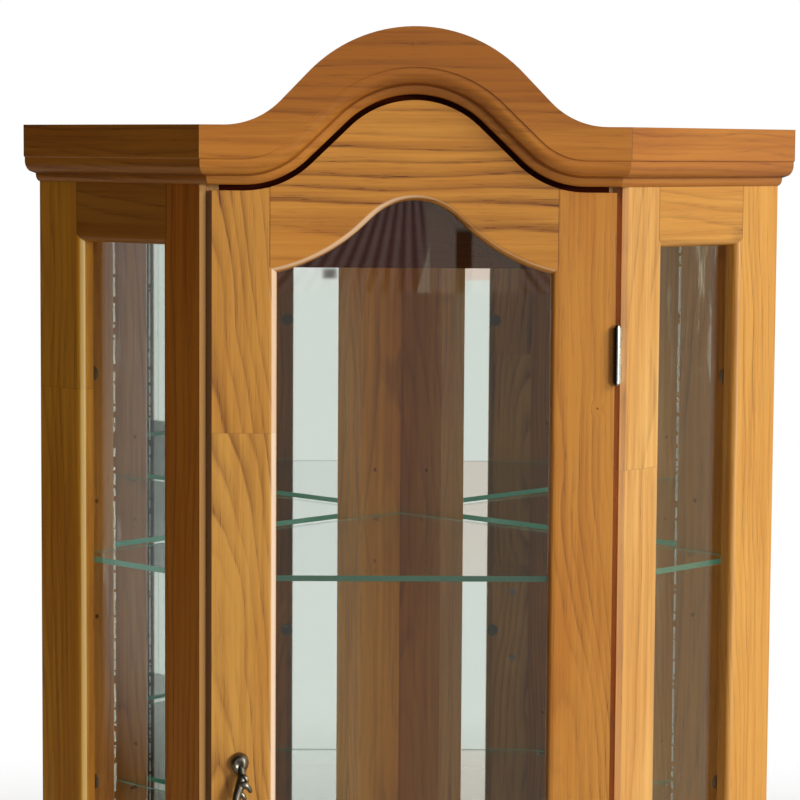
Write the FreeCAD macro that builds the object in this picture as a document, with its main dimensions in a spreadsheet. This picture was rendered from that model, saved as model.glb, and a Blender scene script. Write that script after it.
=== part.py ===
import FreeCAD, Part
import math
import os

import Sketcher

# Corner curio cabinet, in millimetres. +Z is up, -Y is the front and +X the right-hand side.
# The plan is a square room corner with its front cut off at 45 degrees: a door in front, a glazed
# side on each side of it, and two backs that meet in the corner of the room.
# The origin is on the floor, at the middle of the cabinet's box.

Vector = FreeCAD.Vector
doc = FreeCAD.newDocument("corner_cabinet")


# ---------------------------------------------------------------- driving dimensions

SIZES = [
    # heights above the floor
    ("wing_top", 1748, "top of the straight cornices"),
    ("foot_height", 8, "height of the glides"),
    ("base_height", 106, "top of the base mouldings"),
    ("deck_top", 172, "top of the bottom deck"),
    ("glass_bottom", 190, "top edge of all the bottom rails"),
    # heights down from wing_top
    ("cornice_height", 60.5, "height of the cornice mouldings"),
    ("fascia_height", 33.5, "flat height of the cornice"),
    ("side_glass_drop", 116, "lower edge of the side top rails"),
    ("ceiling_drop", 112, "underside of the ceiling panel"),
    ("stop_drop", 145, "lower edge of the stop board behind the top of the door"),
    ("glass_arch_drop", 75.4, "crown of the door glass"),
    ("shelf_drop", 466, "top of the upper shelf"),
    ("shelf_pitch", 418, "distance from shelf to shelf"),
    ("clip_drop", 266, "first row of glass clips"),
    ("clip_pitch", 447, "distance between rows of glass clips"),
    # plan
    ("side_length", 256, "outer width of a glazed side"),
    ("door_half", 206, "half the door's width"),
    ("door_side_gap", 6.5, "gap between door and post"),
    ("post_strip", 6.5, "front-facing edge of a post"),
    ("door_top_gap", 6, "gap between door and header"),
    ("door_bottom_gap", 6, "gap between door and base"),
    ("door_proud", 10, "how far the door stands before the posts"),
    ("door_stop_gap", 2, "air between the shut door and its stops"),
    ("cornice_reach", 22, "how far the mouldings stand out"),
    # the moulded part of the cornice and the base: out from the face, or along from the flat's edge
    ("mould_step", 1.5, "bevel at the flat's edge"),
    ("round_start", 3.5, "where the upper round starts"),
    ("round_end", 16, "where it ends"),
    ("round_out", 14, "how far out it ends"),
    ("round_radius", 13, "its radius"),
    ("bead_start", 18.5, "where the bead starts"),
    ("bead_out", 5.5, "how far out it starts"),
    ("bead_radius", 8.5, "its radius"),
    ("bead_foot", 1, "how far out it ends"),
    # frames of the door and the sides
    ("door_thickness", 20, "door frame"),
    ("side_thickness", 22, "side frames"),
    ("door_stile", 58.5, "face width of the door stiles"),
    ("front_stile", 50.5, "face width of the corner posts"),
    ("rear_stile", 61.5, "face width of the rear stiles"),
    ("edge_round", 7.5, "radius of the rounded edge round the glass"),
    ("door_rabbet", 13, "depth at which the door's glass rabbet begins"),
    ("side_rabbet", 16.5, "the same in the sides"),
    ("rabbet_width", 8, "width of the glass rabbet"),
    ("glass_thickness", 4, "panes"),
    ("glass_clearance", 1, "air round a pane"),
    # arches
    ("cornice_rise", 99.5, "rise of the cornice's top edge"),
    ("cornice_crown_radius", 150, "crown of that edge"),
    ("cornice_foot_radius", 80, "its feet"),
    ("cornice_angle", 46, "its steepest angle, in degrees"),
    ("door_rise", 92.5, "rise of the door's top edge"),
    ("door_crown_radius", 94, "crown of that edge"),
    ("door_foot_radius", 100, "its feet"),
    ("door_angle", 44, "its steepest angle, in degrees"),
    ("glass_crown_radius", 60, "crown of the door glass"),
    ("glass_foot_radius", 190, "the hollow curves beside it"),
    ("glass_angle", 43.5, "their steepest angle, in degrees"),
    ("glass_straight", 15.2, "straight between crown and foot"),
    # boards
    ("board_thickness", 18, "deck and its front rail"),
    ("top_board_thickness", 15, "top board"),
    ("ceiling_thickness", 6, "ceiling panel"),
    ("batten_width", 18, "battens and cleats"),
    ("cleat_height", 30, "cleats under the deck"),
    ("header_thickness", 22, "header and base boards"),
    ("stop_thickness", 12, "stop board behind the header, which the door shuts against"),
    ("back_thickness", 5, "back panels"),
    ("mirror_thickness", 4, "mirrors"),
    ("mirror_clearance", 0.3, "air beside a mirror"),
    ("lining_thickness", 24, "upright boards beside the mirrors"),
    ("lining_face", 68, "face width of the two in the corner"),
    ("rear_face_left", 58, "face width of the left one at the rear stile"),
    ("rear_face_right", 88, "face width of the right one at the rear stile"),
    ("corner_block", 50, "rear corner block"),
    ("apron_half", 130, "half the width of the base's arched cut"),
    ("apron_rise", 26, "its rise"),
    # shelves and pins
    ("shelf_thickness", 6, "glass shelves"),
    ("shelf_front", 27, "front edge, behind the posts' front"),
    ("shelf_side_gap", 5, "air beside a shelf"),
    ("shelf_back_gap", 1.5, "air behind a shelf"),
    ("shelf_clip", 57.5, "its clipped side corners, measured from the cabinet's own"),
    ("shelf_seat_gap", 0.2, "soft pad between pin and shelf"),
    ("pin_radius", 2.5, "shelf pins"),
    ("pin_depth", 9, "pin inside its hole"),
    ("pin_reach", 9, "pin outside its hole"),
    ("pin_clearance", 0.1, "round a pin in its hole"),
    ("peg_pitch", 64, "distance between peg holes"),
    ("pin_inset", 24, "pin from the inner edge of its board"),
    # glass clips
    ("clip_radius", 8, "clip discs"),
    ("clip_thickness", 3, "clip discs"),
    ("clip_pad_radius", 3.5, "pads on the glass"),
    ("clip_pad_inset", 4, "centre of a pad, from the disc's rim"),
    ("clip_screw_radius", 3, "screw heads"),
    ("clip_screw_height", 1, "screw heads"),
    # door furniture
    ("handle_height", 1043, "middle of the pull"),
    ("handle_inset", 29, "pull from the door's edge"),
    ("handle_half", 48, "half the distance between its screws"),
    ("handle_reach", 17.5, "centre line of the bow from the door"),
    ("handle_radius", 4, "bow"),
    ("handle_foot_radius", 9.5, "its domed feet"),
    ("handle_foot_height", 4.5, "their centres, from the door"),
    ("handle_leaf_radius", 6, "leaves beside the bow"),
    ("handle_leaf_aside", 7, "their centres, from the bow's"),
    ("handle_leaf_drop", 24, "their centres, from the feet's"),
    ("screw_radius", 2, "pull screws"),
    ("screw_clearance", 0.2, "round a screw"),
    ("screw_head_radius", 4, "pull screw heads"),
    ("screw_head_height", 2.5, "pull screw heads"),
    ("hinge_drop", 232, "middle of the upper hinge"),
    ("hinge_low", 260, "middle of the lower hinge, above the floor"),
    ("hinge_length", 57, "hinges"),
    ("hinge_axis_shift", 1.5, "hinge axis, from the middle of the gap towards the door"),
    ("knuckle_radius", 4.2, "hinge knuckles"),
    ("knuckle_air", 0.2, "between the knuckles and the door's face"),
    ("knuckle_gap", 0.3, "between knuckles"),
    ("hinge_pin_radius", 2, "hinge pins"),
    ("hinge_pin_clearance", 0.06, "round a hinge pin"),
    ("leaf_thickness", 1.4, "hinge leaves"),
    ("leaf_end_gap", 1, "leaf to the back of the wood"),
    ("hinge_screw_radius", 1.5, "hinge screws"),
    ("hinge_screw_head", 2.6, "their heads, flush in the leaves"),
    ("hinge_screw_length", 14, "hinge screws in the door"),
    ("frame_screw_length", 10, "hinge screws in the post, which is thin there"),
    ("hinge_screw_inset", 4, "from a leaf's inner end to its screws"),
    ("hinge_tip_radius", 3, "domed ends of the hinge pins"),
    ("hinge_screw_pitch", 19, "distance between them"),
    ("catch_width", 40, "magnetic catch"),
    ("catch_height", 14, "magnetic catch"),
    ("catch_depth", 20, "magnetic catch"),
    ("catch_gap", 0.3, "catch to strike plate"),
    ("strike_thickness", 1.5, "strike plate"),
    ("foot_radius", 10, "glides"),
    ("foot_setback", 30, "rear glide, from the corner of the backs"),
]

sizes = doc.addObject("Spreadsheet::Sheet", "Sizes")
for row, (alias, value, note) in enumerate(SIZES, start=1):
    sizes.set(f"A{row}", alias)
    sizes.set(f"B{row}", str(value))
    sizes.setAlias(f"B{row}", alias)
    sizes.set(f"C{row}", note)

# What follows from them. Plan coordinates have y = 0 at the front edges of the posts.
WORKED_OUT = [
    ("post_half", "Sizes.door_half + Sizes.door_side_gap + Sizes.post_strip"),
    ("tip_y", "Sizes.side_length / sqrt(2)"),
    ("tip_x", "post_half + tip_y"),
    ("corner_y", "tip_x + tip_y"),
    ("wall_length", "tip_x * sqrt(2)"),
    ("front_y", "-Sizes.door_proud - Sizes.cornice_reach"),
    ("middle_y", "(corner_y + front_y) / 2"),
    ("door_back", "Sizes.door_thickness - Sizes.door_proud"),
    ("stop_y", "door_back + Sizes.door_stop_gap"),
    # where the inner face of a side frame meets y = 0 when it is drawn on
    ("inner_x", "post_half - Sizes.side_thickness * sqrt(2)"),
    # the corner of the header and base boards, on the line of a side's outer face
    ("header_half", "post_half - Sizes.door_proud"),
    ("header_inner", "post_half - Sizes.post_strip"),
    ("header_back", "Sizes.header_thickness - Sizes.door_proud"),
    ("stop_back", "stop_y + Sizes.stop_thickness"),
    ("mitre_run", "Sizes.cornice_reach * tan(22.5 deg)"),
    ("mitre_start", "-Sizes.door_proud * sqrt(2)"),
    ("frame_top", "Sizes.wing_top - Sizes.top_board_thickness"),
    ("deck_bottom", "Sizes.deck_top - Sizes.board_thickness"),
    ("ceiling_bottom", "Sizes.wing_top - Sizes.ceiling_drop"),
    ("ceiling_top", "ceiling_bottom + Sizes.ceiling_thickness"),
    ("stop_bottom", "Sizes.wing_top - Sizes.stop_drop"),
    ("back_inner", "corner_y - Sizes.back_thickness * sqrt(2)"),
    ("lining_front", "Sizes.back_thickness + Sizes.lining_thickness"),
    ("rear_end_left", "Sizes.side_thickness + Sizes.rear_face_left"),
    ("rear_end_right", "Sizes.side_thickness + Sizes.rear_face_right"),
    ("corner_lining_start", "wall_length - lining_front - Sizes.lining_face"),
    ("shelf_side_x", "post_half - (Sizes.side_thickness + Sizes.shelf_side_gap) * sqrt(2)"),
    ("shelf_clip_half", "tip_x - Sizes.shelf_clip"),
    ("handle_side", "Sizes.door_half - Sizes.handle_inset"),
    ("shelf_corner_y", "corner_y - (lining_front + Sizes.shelf_back_gap) * sqrt(2)"),
]

plan = doc.addObject("Spreadsheet::Sheet", "Plan")
for row, (alias, formula) in enumerate(WORKED_OUT, start=1):
    plan.set(f"A{row}", alias)
    plan.set(f"B{row}", "=" + formula)
    plan.setAlias(f"B{row}", alias)
doc.recompute()


CELLS = {row[0]: sizes for row in SIZES} | {row[0]: plan for row in WORKED_OUT}


def size(name):
    """The value of one cell of either sheet."""
    return float(getattr(CELLS[name], name))


# ---------------------------------------------------------------- frames of reference

# A frame is where a sub-part's own coordinates lie: x and y of its origin, and its turn about Z.
PLAN = ("0", "-Plan.middle_y", 0)


def side_frame(side):
    """x runs along a glazed side's outer face from its post (times side), y runs inwards."""
    return (f"{side} * Plan.post_half", "-Plan.middle_y", 45 * side)


def wall_frame(side):
    """x runs along a back from the rear stile to the corner (times side), y runs inwards."""
    return (f"{side} * Plan.tip_x", "Plan.tip_y - Plan.middle_y", 135 * side)


def mirrored(points, side):
    """The outline's points, with x reversed on the left-hand side (side = -1)."""
    return [(f"{side} * ({x})", y, *arc) for x, y, *arc in points]


def frame_place(frame):
    """Where a frame lies in plan coordinates."""
    x, y, turn = frame
    origin = Vector(sizes.evalExpression(x), sizes.evalExpression(y) + size("middle_y"), 0)
    return FreeCAD.Placement(origin, FreeCAD.Rotation(Vector(0, 0, 1), turn))


def seen_from(frame, shape):
    """A shape in plan coordinates, brought into a frame's own."""
    moved = shape.copy()
    moved.Placement = frame_place(frame).inverse() * shape.Placement
    return moved


def put(sub_part, frame, height="0"):
    x, y, turn = frame
    sub_part.Placement = FreeCAD.Placement(Vector(0, 0, 0), FreeCAD.Rotation(Vector(0, 0, 1), turn))
    sub_part.setExpression("Placement.Base.x", x)
    sub_part.setExpression("Placement.Base.y", y)
    sub_part.setExpression("Placement.Base.z", height)
    return sub_part


# ---------------------------------------------------------------- sketches and bodies

def arc_between(start, end, radius, turn):
    """The shorter arc of this radius from start to end, turning left (1) or right (-1)."""
    chord = end - start
    reach = math.sqrt(radius ** 2 - (chord.Length / 2) ** 2)
    across = Vector(-chord.y, chord.x, 0).normalize()
    centre = (start + end) * 0.5 + across * reach * turn
    middle = centre + ((start + end) * 0.5 - centre).normalize() * radius
    return Part.Arc(start, middle, end)


def draw(sketch, points):
    """Closed outline. A point is (x, y), or (x, y, radius, turn) where an arc starts."""
    spots = [Vector(sketch.evalExpression(p[0]), sketch.evalExpression(p[1]), 0) for p in points]
    begins, ends = [], []
    for i, point in enumerate(points):
        start, end = spots[i], spots[(i + 1) % len(spots)]
        if len(point) == 2:
            number = sketch.addGeometry(Part.LineSegment(start, end), False)
            begins.append((number, 1))
            ends.append((number, 2))
            continue
        radius, turn = point[2:]
        arc = arc_between(start, end, sketch.evalExpression(radius), turn)
        number = sketch.addGeometry(arc, False)
        begins.append((number, 1 if turn > 0 else 2))
        ends.append((number, 2 if turn > 0 else 1))
        bind(sketch, Sketcher.Constraint("Radius", number, sketch.evalExpression(radius)), radius)
    for i, (x, y, *arc) in enumerate(points):
        sketch.addConstraint(Sketcher.Constraint("Coincident", *ends[i - 1], *begins[i]))
        bind(sketch, Sketcher.Constraint("DistanceX", -1, 1, *begins[i], spots[i].x), x)
        bind(sketch, Sketcher.Constraint("DistanceY", -1, 1, *begins[i], spots[i].y), y)


def bind(sketch, constraint, expression):
    number = sketch.addConstraint(constraint)
    sketch.setExpression(f"Constraints[{number}]", expression)


def new_sketch(body, name, role, offset="0"):
    """A sketch on one of the body's own origin planes, moved along that plane's normal."""
    sketch = body.newObject("Sketcher::SketchObject", name)
    base = next(f for f in body.Origin.OriginFeatures if f.Role == role)
    sketch.AttachmentSupport = [(base, "")]
    sketch.MapMode = "FlatFace"
    sketch.setExpression("AttachmentOffset.Base.z", offset)
    return sketch


def new_body(name):
    body = doc.addObject("PartDesign::Body", name)
    body.Label = name
    return body


def board(name, points, low, high, frame=PLAN):
    """A body whose plan outline is carried from height low to height high."""
    body = new_body(name)
    sketch = new_sketch(body, name + "_outline", "XY_Plane")
    draw(sketch, points)
    pad = body.newObject("PartDesign::Pad", name + "_pad")
    pad.Profile = sketch
    pad.setExpression("Length", f"({high}) - ({low})")
    return put(body, frame, low)


def cut_through(body, name, role, points):
    """Cut an outline on an origin plane right through the body, both ways."""
    before = volume(body)
    sketch = new_sketch(body, name + "_outline", role)
    draw(sketch, points)
    pocket = body.newObject("PartDesign::Pocket", name)
    pocket.Profile = sketch
    pocket.Type = "ThroughAll"
    pocket.SideType = "Symmetric"
    check_cut(body, name, before)


def drill(body, name, face, centres, radius, depth):
    """Blind round holes into the body's face at y = face, towards lower y."""
    before = volume(body)
    sketch = new_sketch(body, name + "_circles", "XZ_Plane", f"-({face})")
    for x, y in centres:
        spot = Vector(sketch.evalExpression(x), sketch.evalExpression(y), 0)
        circle = Part.Circle(spot, Vector(0, 0, 1), sketch.evalExpression(radius))
        number = sketch.addGeometry(circle, False)
        bind(sketch, Sketcher.Constraint("Radius", number, circle.Radius), radius)
        bind(sketch, Sketcher.Constraint("DistanceX", -1, 1, number, 3, spot.x), x)
        bind(sketch, Sketcher.Constraint("DistanceY", -1, 1, number, 3, spot.y), y)
    pocket = body.newObject("PartDesign::Pocket", name)
    pocket.Profile = sketch
    pocket.Reversed = True
    pocket.setExpression("Length", depth)
    check_cut(body, name, before)


def volume(body):
    doc.recompute()
    return body.Shape.Volume


def check_cut(body, name, before):
    if volume(body) >= before - 1:
        raise RuntimeError(f"{name} cuts nothing from {body.Label}")


def solid(name, shape, frame=PLAN):
    """A sub-part whose shape is worked out here with Part's own functions."""
    feature = doc.addObject("Part::Feature", name)
    feature.Label = name
    feature.Shape = shape
    return put(feature, frame)


# ---------------------------------------------------------------- arches

class Arch:
    """Half-round crown, straight slopes and hollow feet: one edge and all its parallels.

    The crown's centre is on x = 0, and the feet end in level lines at height foot_z.
    """

    def __init__(self, foot_z, rise, crown_radius, foot_radius, slope):
        self.crown_radius = crown_radius
        self.foot_radius = foot_radius
        self.slope = math.radians(slope)
        across = crown_radius + foot_radius
        straight = (rise - across * (1 - math.cos(self.slope))) / math.sin(self.slope)
        self.foot_x = across * math.sin(self.slope) + straight * math.cos(self.slope)
        self.foot_centre = foot_z + foot_radius
        self.crown_centre = foot_z + rise - crown_radius
        self.foot_z = foot_z

    def half(self, offset, y):
        """Tangent points and arc middles of the right half, at a parallel offset upwards."""
        foot = self.foot_radius - offset
        crown = self.crown_radius + offset

        def on_foot(angle):
            x = self.foot_x - foot * math.sin(angle)
            return Vector(x, y, self.foot_centre - foot * math.cos(angle))

        def on_crown(angle):
            return Vector(crown * math.sin(angle), y, self.crown_centre + crown * math.cos(angle))

        return (on_foot(0), on_foot(self.slope / 2), on_foot(self.slope),
                on_crown(self.slope), on_crown(0))

    def edges(self, offset, y, reach):
        """The whole edge from x = -reach to x = +reach."""
        level, foot_middle, foot_top, crown_side, crown_top = self.half(offset, y)
        end = Vector(reach, y, self.foot_z + offset)
        left = [flip(p) for p in (end, level, foot_middle, foot_top, crown_side)]
        return [
            Part.makeLine(left[0], left[1]),
            Part.Arc(left[1], left[2], left[3]).toShape(),
            Part.makeLine(left[3], left[4]),
            Part.Arc(left[4], crown_top, crown_side).toShape(),
            Part.makeLine(crown_side, foot_top),
            Part.Arc(foot_top, foot_middle, level).toShape(),
            Part.makeLine(level, end),
        ]


def flip(point):
    return Vector(-point.x, point.y, point.z)


def sight_wire(offset, y):
    """The edge of the door glass, or a parallel outside it, in the plane at y."""
    half = size("door_half") - size("door_stile") - size("edge_round") + offset
    bottom = size("glass_bottom") + size("edge_round") - offset
    slope = math.radians(size("glass_angle"))
    crown = size("glass_crown_radius")
    top = size("wing_top") - size("glass_arch_drop")
    hollow = size("glass_foot_radius")
    start_x = crown * math.sin(slope) + size("glass_straight") * math.cos(slope)
    start_z = top - crown * (1 - math.cos(slope)) - size("glass_straight") * math.sin(slope)
    centre = Vector(start_x + hollow * math.sin(slope), y, start_z + hollow * math.cos(slope))
    radius = hollow - offset

    def on_hollow(angle):
        return centre - Vector(radius * math.sin(angle), 0, radius * math.cos(angle))

    def on_crown(angle):
        x = (crown + offset) * math.sin(angle)
        return Vector(x, y, top - crown + (crown + offset) * math.cos(angle))

    last = math.asin((centre.x - half) / radius)
    corner, middle, rise = on_hollow(last), on_hollow((last + slope) / 2), on_hollow(slope)
    shoulder = on_crown(slope)
    sill = Vector(half, y, bottom)
    return Part.Wire([
        Part.makeLine(flip(sill), sill),
        Part.makeLine(sill, corner),
        Part.Arc(corner, middle, rise).toShape(),
        Part.makeLine(rise, shoulder),
        Part.Arc(shoulder, on_crown(0), flip(shoulder)).toShape(),
        Part.makeLine(flip(shoulder), flip(rise)),
        Part.Arc(flip(rise), flip(middle), flip(corner)).toShape(),
        Part.makeLine(flip(corner), flip(sill)),
    ])


def sight_corner(offset):
    """The upper corner of sight_wire at this offset, as (x, z)."""
    box = Part.Face(sight_wire(offset, 0)).Vertexes
    corner = max((v.Point for v in box), key=lambda p: (round(p.x, 6), p.z))
    return corner.x, corner.z


def rounded(piece, opening):
    """The piece, with the edges rounded that lie on the wire round its frame's opening."""
    edges = [e for e in piece.Edges if all(on_wire(e.valueAt(t), opening) for t in
                                           (e.FirstParameter, sum(e.ParameterRange) / 2))]
    return piece.makeFillet(size("edge_round"), edges).Solids[0]


def on_wire(point, wire):
    return wire.distToShape(Part.Vertex(point))[0] < 1e-4


def polygon(points, place):
    """A face through (a, b) points, each turned into a vector by place."""
    spots = [place(a, b) for a, b in points]
    return Part.Face(Part.makePolygon(spots + spots[:1]))


def box_between(low, high):
    """A box between two opposite corners."""
    start = Vector(*(min(a, b) for a, b in zip(low, high)))
    end = Vector(*(max(a, b) for a, b in zip(low, high)))
    span = end - start
    return Part.makeBox(span.x, span.y, span.z, start)


def rod(start, direction, radius, length):
    return Part.makeCylinder(radius, length, start, direction)


door_arch = Arch(size("wing_top") - size("cornice_height") - size("door_top_gap"), size("door_rise"),
                 size("door_crown_radius"), size("door_foot_radius"), size("door_angle"))
cornice_arch = Arch(size("wing_top"), size("cornice_rise"), size("cornice_crown_radius"),
                    size("cornice_foot_radius"), size("cornice_angle"))


# ---------------------------------------------------------------- mouldings

# The moulded part of the cornice, from the flat fascia down to the bead: the distance out from
# the face behind, the distance down from the fascia's edge, and the arc that starts there.
MOULDING = [
    ("Sizes.cornice_reach", "0"),
    ("Sizes.cornice_reach - Sizes.mould_step", "Sizes.mould_step"),
    ("Sizes.cornice_reach - Sizes.mould_step", "Sizes.round_start", "Sizes.round_radius", 1),
    ("Sizes.round_out", "Sizes.round_end"),
    ("Sizes.bead_out", "Sizes.bead_start", "Sizes.bead_radius", 1),
    ("Sizes.bead_foot", "Sizes.cornice_height - Sizes.fascia_height"),
]


def moulding_outline(edge, sense):
    """What is cut from a straight moulding's blank, as points (y, z) of its own frame.

    edge is the height of the fascia's edge, and sense is -1 where the profile runs down from
    it, as on a cornice, or 1 where it runs up, as on a base.
    """
    points = []
    for out, along, *arc in MOULDING:
        bend = (arc[0], -arc[1] * sense) if arc else ()
        points.append((f"-({out})", f"({edge}) + {sense} * ({along})", *bend))
    depth = "(Sizes.cornice_height - Sizes.fascia_height)"
    behind, before = "Sizes.cornice_reach", "-2 * Sizes.cornice_reach"
    points.append((behind, f"({edge}) + {sense} * {depth}"))
    points.append((behind, f"({edge}) + {sense} * 2 * {depth}"))
    points.append((before, f"({edge}) + {sense} * 2 * {depth}"))
    points.append((before, f"({edge})"))
    return points


def side_moulding(name, side, low, high, edge, sense):
    """A straight moulding along a glazed side, mitred to the front one."""
    points = [
        ("Plan.mitre_start", "0"),
        ("Sizes.side_length", "0"),
        ("Sizes.side_length", "-Sizes.cornice_reach"),
        ("Plan.mitre_start - Plan.mitre_run", "-Sizes.cornice_reach"),
    ]
    body = board(name, mirrored(points, side), low, high, side_frame(side))
    outline = moulding_outline(f"({edge}) - ({low})", sense)
    cut_through(body, name + "_profile", "YZ_Plane", outline)
    return body


def front_mitred_plan():
    """Plan of the front mouldings, from the header's face outwards, as (x, y) points."""
    return [
        ("-Plan.header_half", "0"),
        ("Plan.header_half", "0"),
        ("Plan.header_half + Plan.mitre_run", "-Sizes.cornice_reach"),
        ("-Plan.header_half - Plan.mitre_run", "-Sizes.cornice_reach"),
    ]


FRONT_FACE = ("0", "-Sizes.door_proud - Plan.middle_y", 0)


def make_side_cornices():
    low, high = "Sizes.wing_top - Sizes.cornice_height", "Sizes.wing_top"
    edge = "Sizes.wing_top - Sizes.fascia_height"
    for side, word in ((-1, "left"), (1, "right")):
        side_moulding(f"cornice_{word}", side, low, high, edge, -1)


def make_front_cornice():
    """The arched cornice: a board under the arched top edge, and the moulding swept below it."""
    face = -size("door_proud")
    front = face - size("cornice_reach")
    reach = size("post_half") + size("cornice_reach")
    depth = size("cornice_height") - size("fascia_height")
    gap = size("door_top_gap")
    blank = arched_sheet(gap + depth, face, reach, front - face)

    spine = Part.Wire(door_arch.edges(gap, face, reach))
    edge = size("wing_top") - size("fascia_height")
    place = [(sizes.evalExpression(m[0]), sizes.evalExpression(m[1]), *m[2:]) for m in MOULDING]
    spots = [Vector(-reach, face - out, edge - along) for out, along, *arc in place]
    lines = []
    for i, (out, along, *arc) in enumerate(place[:-1]):
        if arc:
            middle = arc_middle(spots[i], spots[i + 1], sizes.evalExpression(arc[0]))
            lines.append(Part.Arc(spots[i], middle, spots[i + 1]).toShape())
        else:
            lines.append(Part.makeLine(spots[i], spots[i + 1]))
    foot = Vector(-reach, face, edge - depth)
    back = Vector(-reach, face, edge)
    lines += [Part.makeLine(spots[-1], foot), Part.makeLine(foot, back)]
    lines.append(Part.makeLine(back, spots[0]))
    sweep = Part.BRepOffsetAPI.MakePipeShell(spine)
    sweep.setBiNormalMode(Vector(0, 1, 0))
    sweep.add(Part.Wire(lines))
    sweep.build()
    sweep.makeSolid()
    moulding = sweep.shape()

    whole = blank.fuse(moulding).removeSplitter()
    return solid("cornice_front", whole.common(upright(front_mitred_plan(), face)).Solids[0])


def upright(points, start_y):
    """A prism over a plan outline given in expressions, from the floor to above the cabinet."""
    spots = [(sizes.evalExpression(x), start_y + sizes.evalExpression(y)) for x, y in points]
    face = polygon(spots, lambda x, y: Vector(x, y, 0))
    return face.extrude(Vector(0, 0, size("wing_top") + 2 * size("cornice_rise")))


def arc_middle(start, end, radius):
    """The middle of an arc in a plane of constant x that bulges to the front and down."""
    chord = end - start
    sag = radius - math.sqrt(radius ** 2 - (chord.Length / 2) ** 2)
    across = Vector(0, chord.z, -chord.y).normalize()
    if across.y > 0:
        across = -across
    return (start + end) * 0.5 + across * sag


def start_of(edges):
    return edges[0].Vertexes[0].Point


def end_of(edges):
    return edges[-1].Vertexes[-1].Point


def make_header():
    """The arched board behind the front cornice, in the plane of the door."""
    face, back = -size("door_proud"), size("header_back")
    blank = arched_sheet(size("door_top_gap"), face, size("post_half"), back - face)
    return solid("header_board", blank.common(upright(header_plan(), 0)).Solids[0])


def make_stop():
    """The board behind the header, arched at the top. The door shuts against it, and it closes the gap above."""
    front, reach = size("stop_y"), size("post_half")
    upper = cornice_arch.edges(0, front, reach)
    low_left = Vector(-reach, front, size("stop_bottom"))
    low_right = Vector(reach, front, size("stop_bottom"))
    lower = [Part.makeLine(start_of(upper), low_left), Part.makeLine(low_left, low_right),
             Part.makeLine(low_right, end_of(upper))]
    sheet = Part.Face(Part.Wire(lower + upper[::-1]))
    blank = sheet.extrude(Vector(0, size("stop_thickness"), 0))
    return solid("door_stop_board", blank.common(upright(stop_plan(), 0)).Solids[0])


def stop_plan():
    """Plan of the stop board, between the inner faces of the sides."""
    return [
        ("-Plan.inner_x - Plan.stop_y", "Plan.stop_y"),
        ("Plan.inner_x + Plan.stop_y", "Plan.stop_y"),
        ("Plan.inner_x + Plan.stop_back", "Plan.stop_back"),
        ("-Plan.inner_x - Plan.stop_back", "Plan.stop_back"),
    ]


def arched_sheet(offset, start_y, reach, depth):
    """A board from a parallel of the door's top edge up to the cornice's, depth thick."""
    lower = door_arch.edges(offset, start_y, reach)
    upper = cornice_arch.edges(0, start_y, reach)
    right = Part.makeLine(end_of(lower), end_of(upper))
    left = Part.makeLine(start_of(lower), start_of(upper))
    sheet = Part.Face(Part.Wire(lower + [right] + upper[::-1] + [left]))
    return sheet.extrude(Vector(0, depth, 0))


def header_plan():
    """Plan of the header and base boards, between the posts and over their front edges."""
    return [
        ("-Plan.header_half", "-Sizes.door_proud"),
        ("Plan.header_half", "-Sizes.door_proud"),
        ("Plan.post_half", "0"),
        ("Plan.header_inner", "0"),
        ("Plan.header_inner", "Plan.header_back"),
        ("-Plan.header_inner", "Plan.header_back"),
        ("-Plan.header_inner", "0"),
        ("-Plan.post_half", "0"),
    ]


# ---------------------------------------------------------------- base

def apron_points(low):
    """The shallow arch that is cut from the bottom edge of the base's front."""
    radius = "(Sizes.apron_half ^ 2 + Sizes.apron_rise ^ 2) / (2 * Sizes.apron_rise)"
    floor = f"-({low}) + Sizes.foot_height"
    return [("-Sizes.apron_half", floor), ("Sizes.apron_half", floor, radius, 1)]


def make_base():
    low, high = "Sizes.foot_height", "Sizes.base_height"
    edge = "Sizes.base_height - (Sizes.cornice_height - Sizes.fascia_height)"
    for side, word in ((-1, "left"), (1, "right")):
        side_moulding(f"base_moulding_{word}", side, low, high, edge, 1)
    front = board("base_moulding_front", front_mitred_plan(), low, high, FRONT_FACE)
    cut_through(front, "base_front_profile", "YZ_Plane", moulding_outline(f"({edge}) - ({low})", 1))
    cut_through(front, "base_front_apron", "XZ_Plane", apron_points("Sizes.foot_height"))
    behind = board("base_board_front", header_plan(), low, high)
    cut_through(behind, "base_board_apron", "XZ_Plane", apron_points("Sizes.foot_height"))


# ---------------------------------------------------------------- boards inside

def inside_plan(front, back):
    """Between the inner faces of the sides, from y = front to the line back from the corner."""
    side_y = f"(({back}) - Plan.inner_x) / 2"
    side_x = f"(({back}) + Plan.inner_x) / 2"
    return [
        (f"-Plan.inner_x - ({front})", front),
        (f"Plan.inner_x + ({front})", front),
        (side_x, side_y),
        ("0", back),
        (f"-({side_x})", side_y),
    ]


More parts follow.
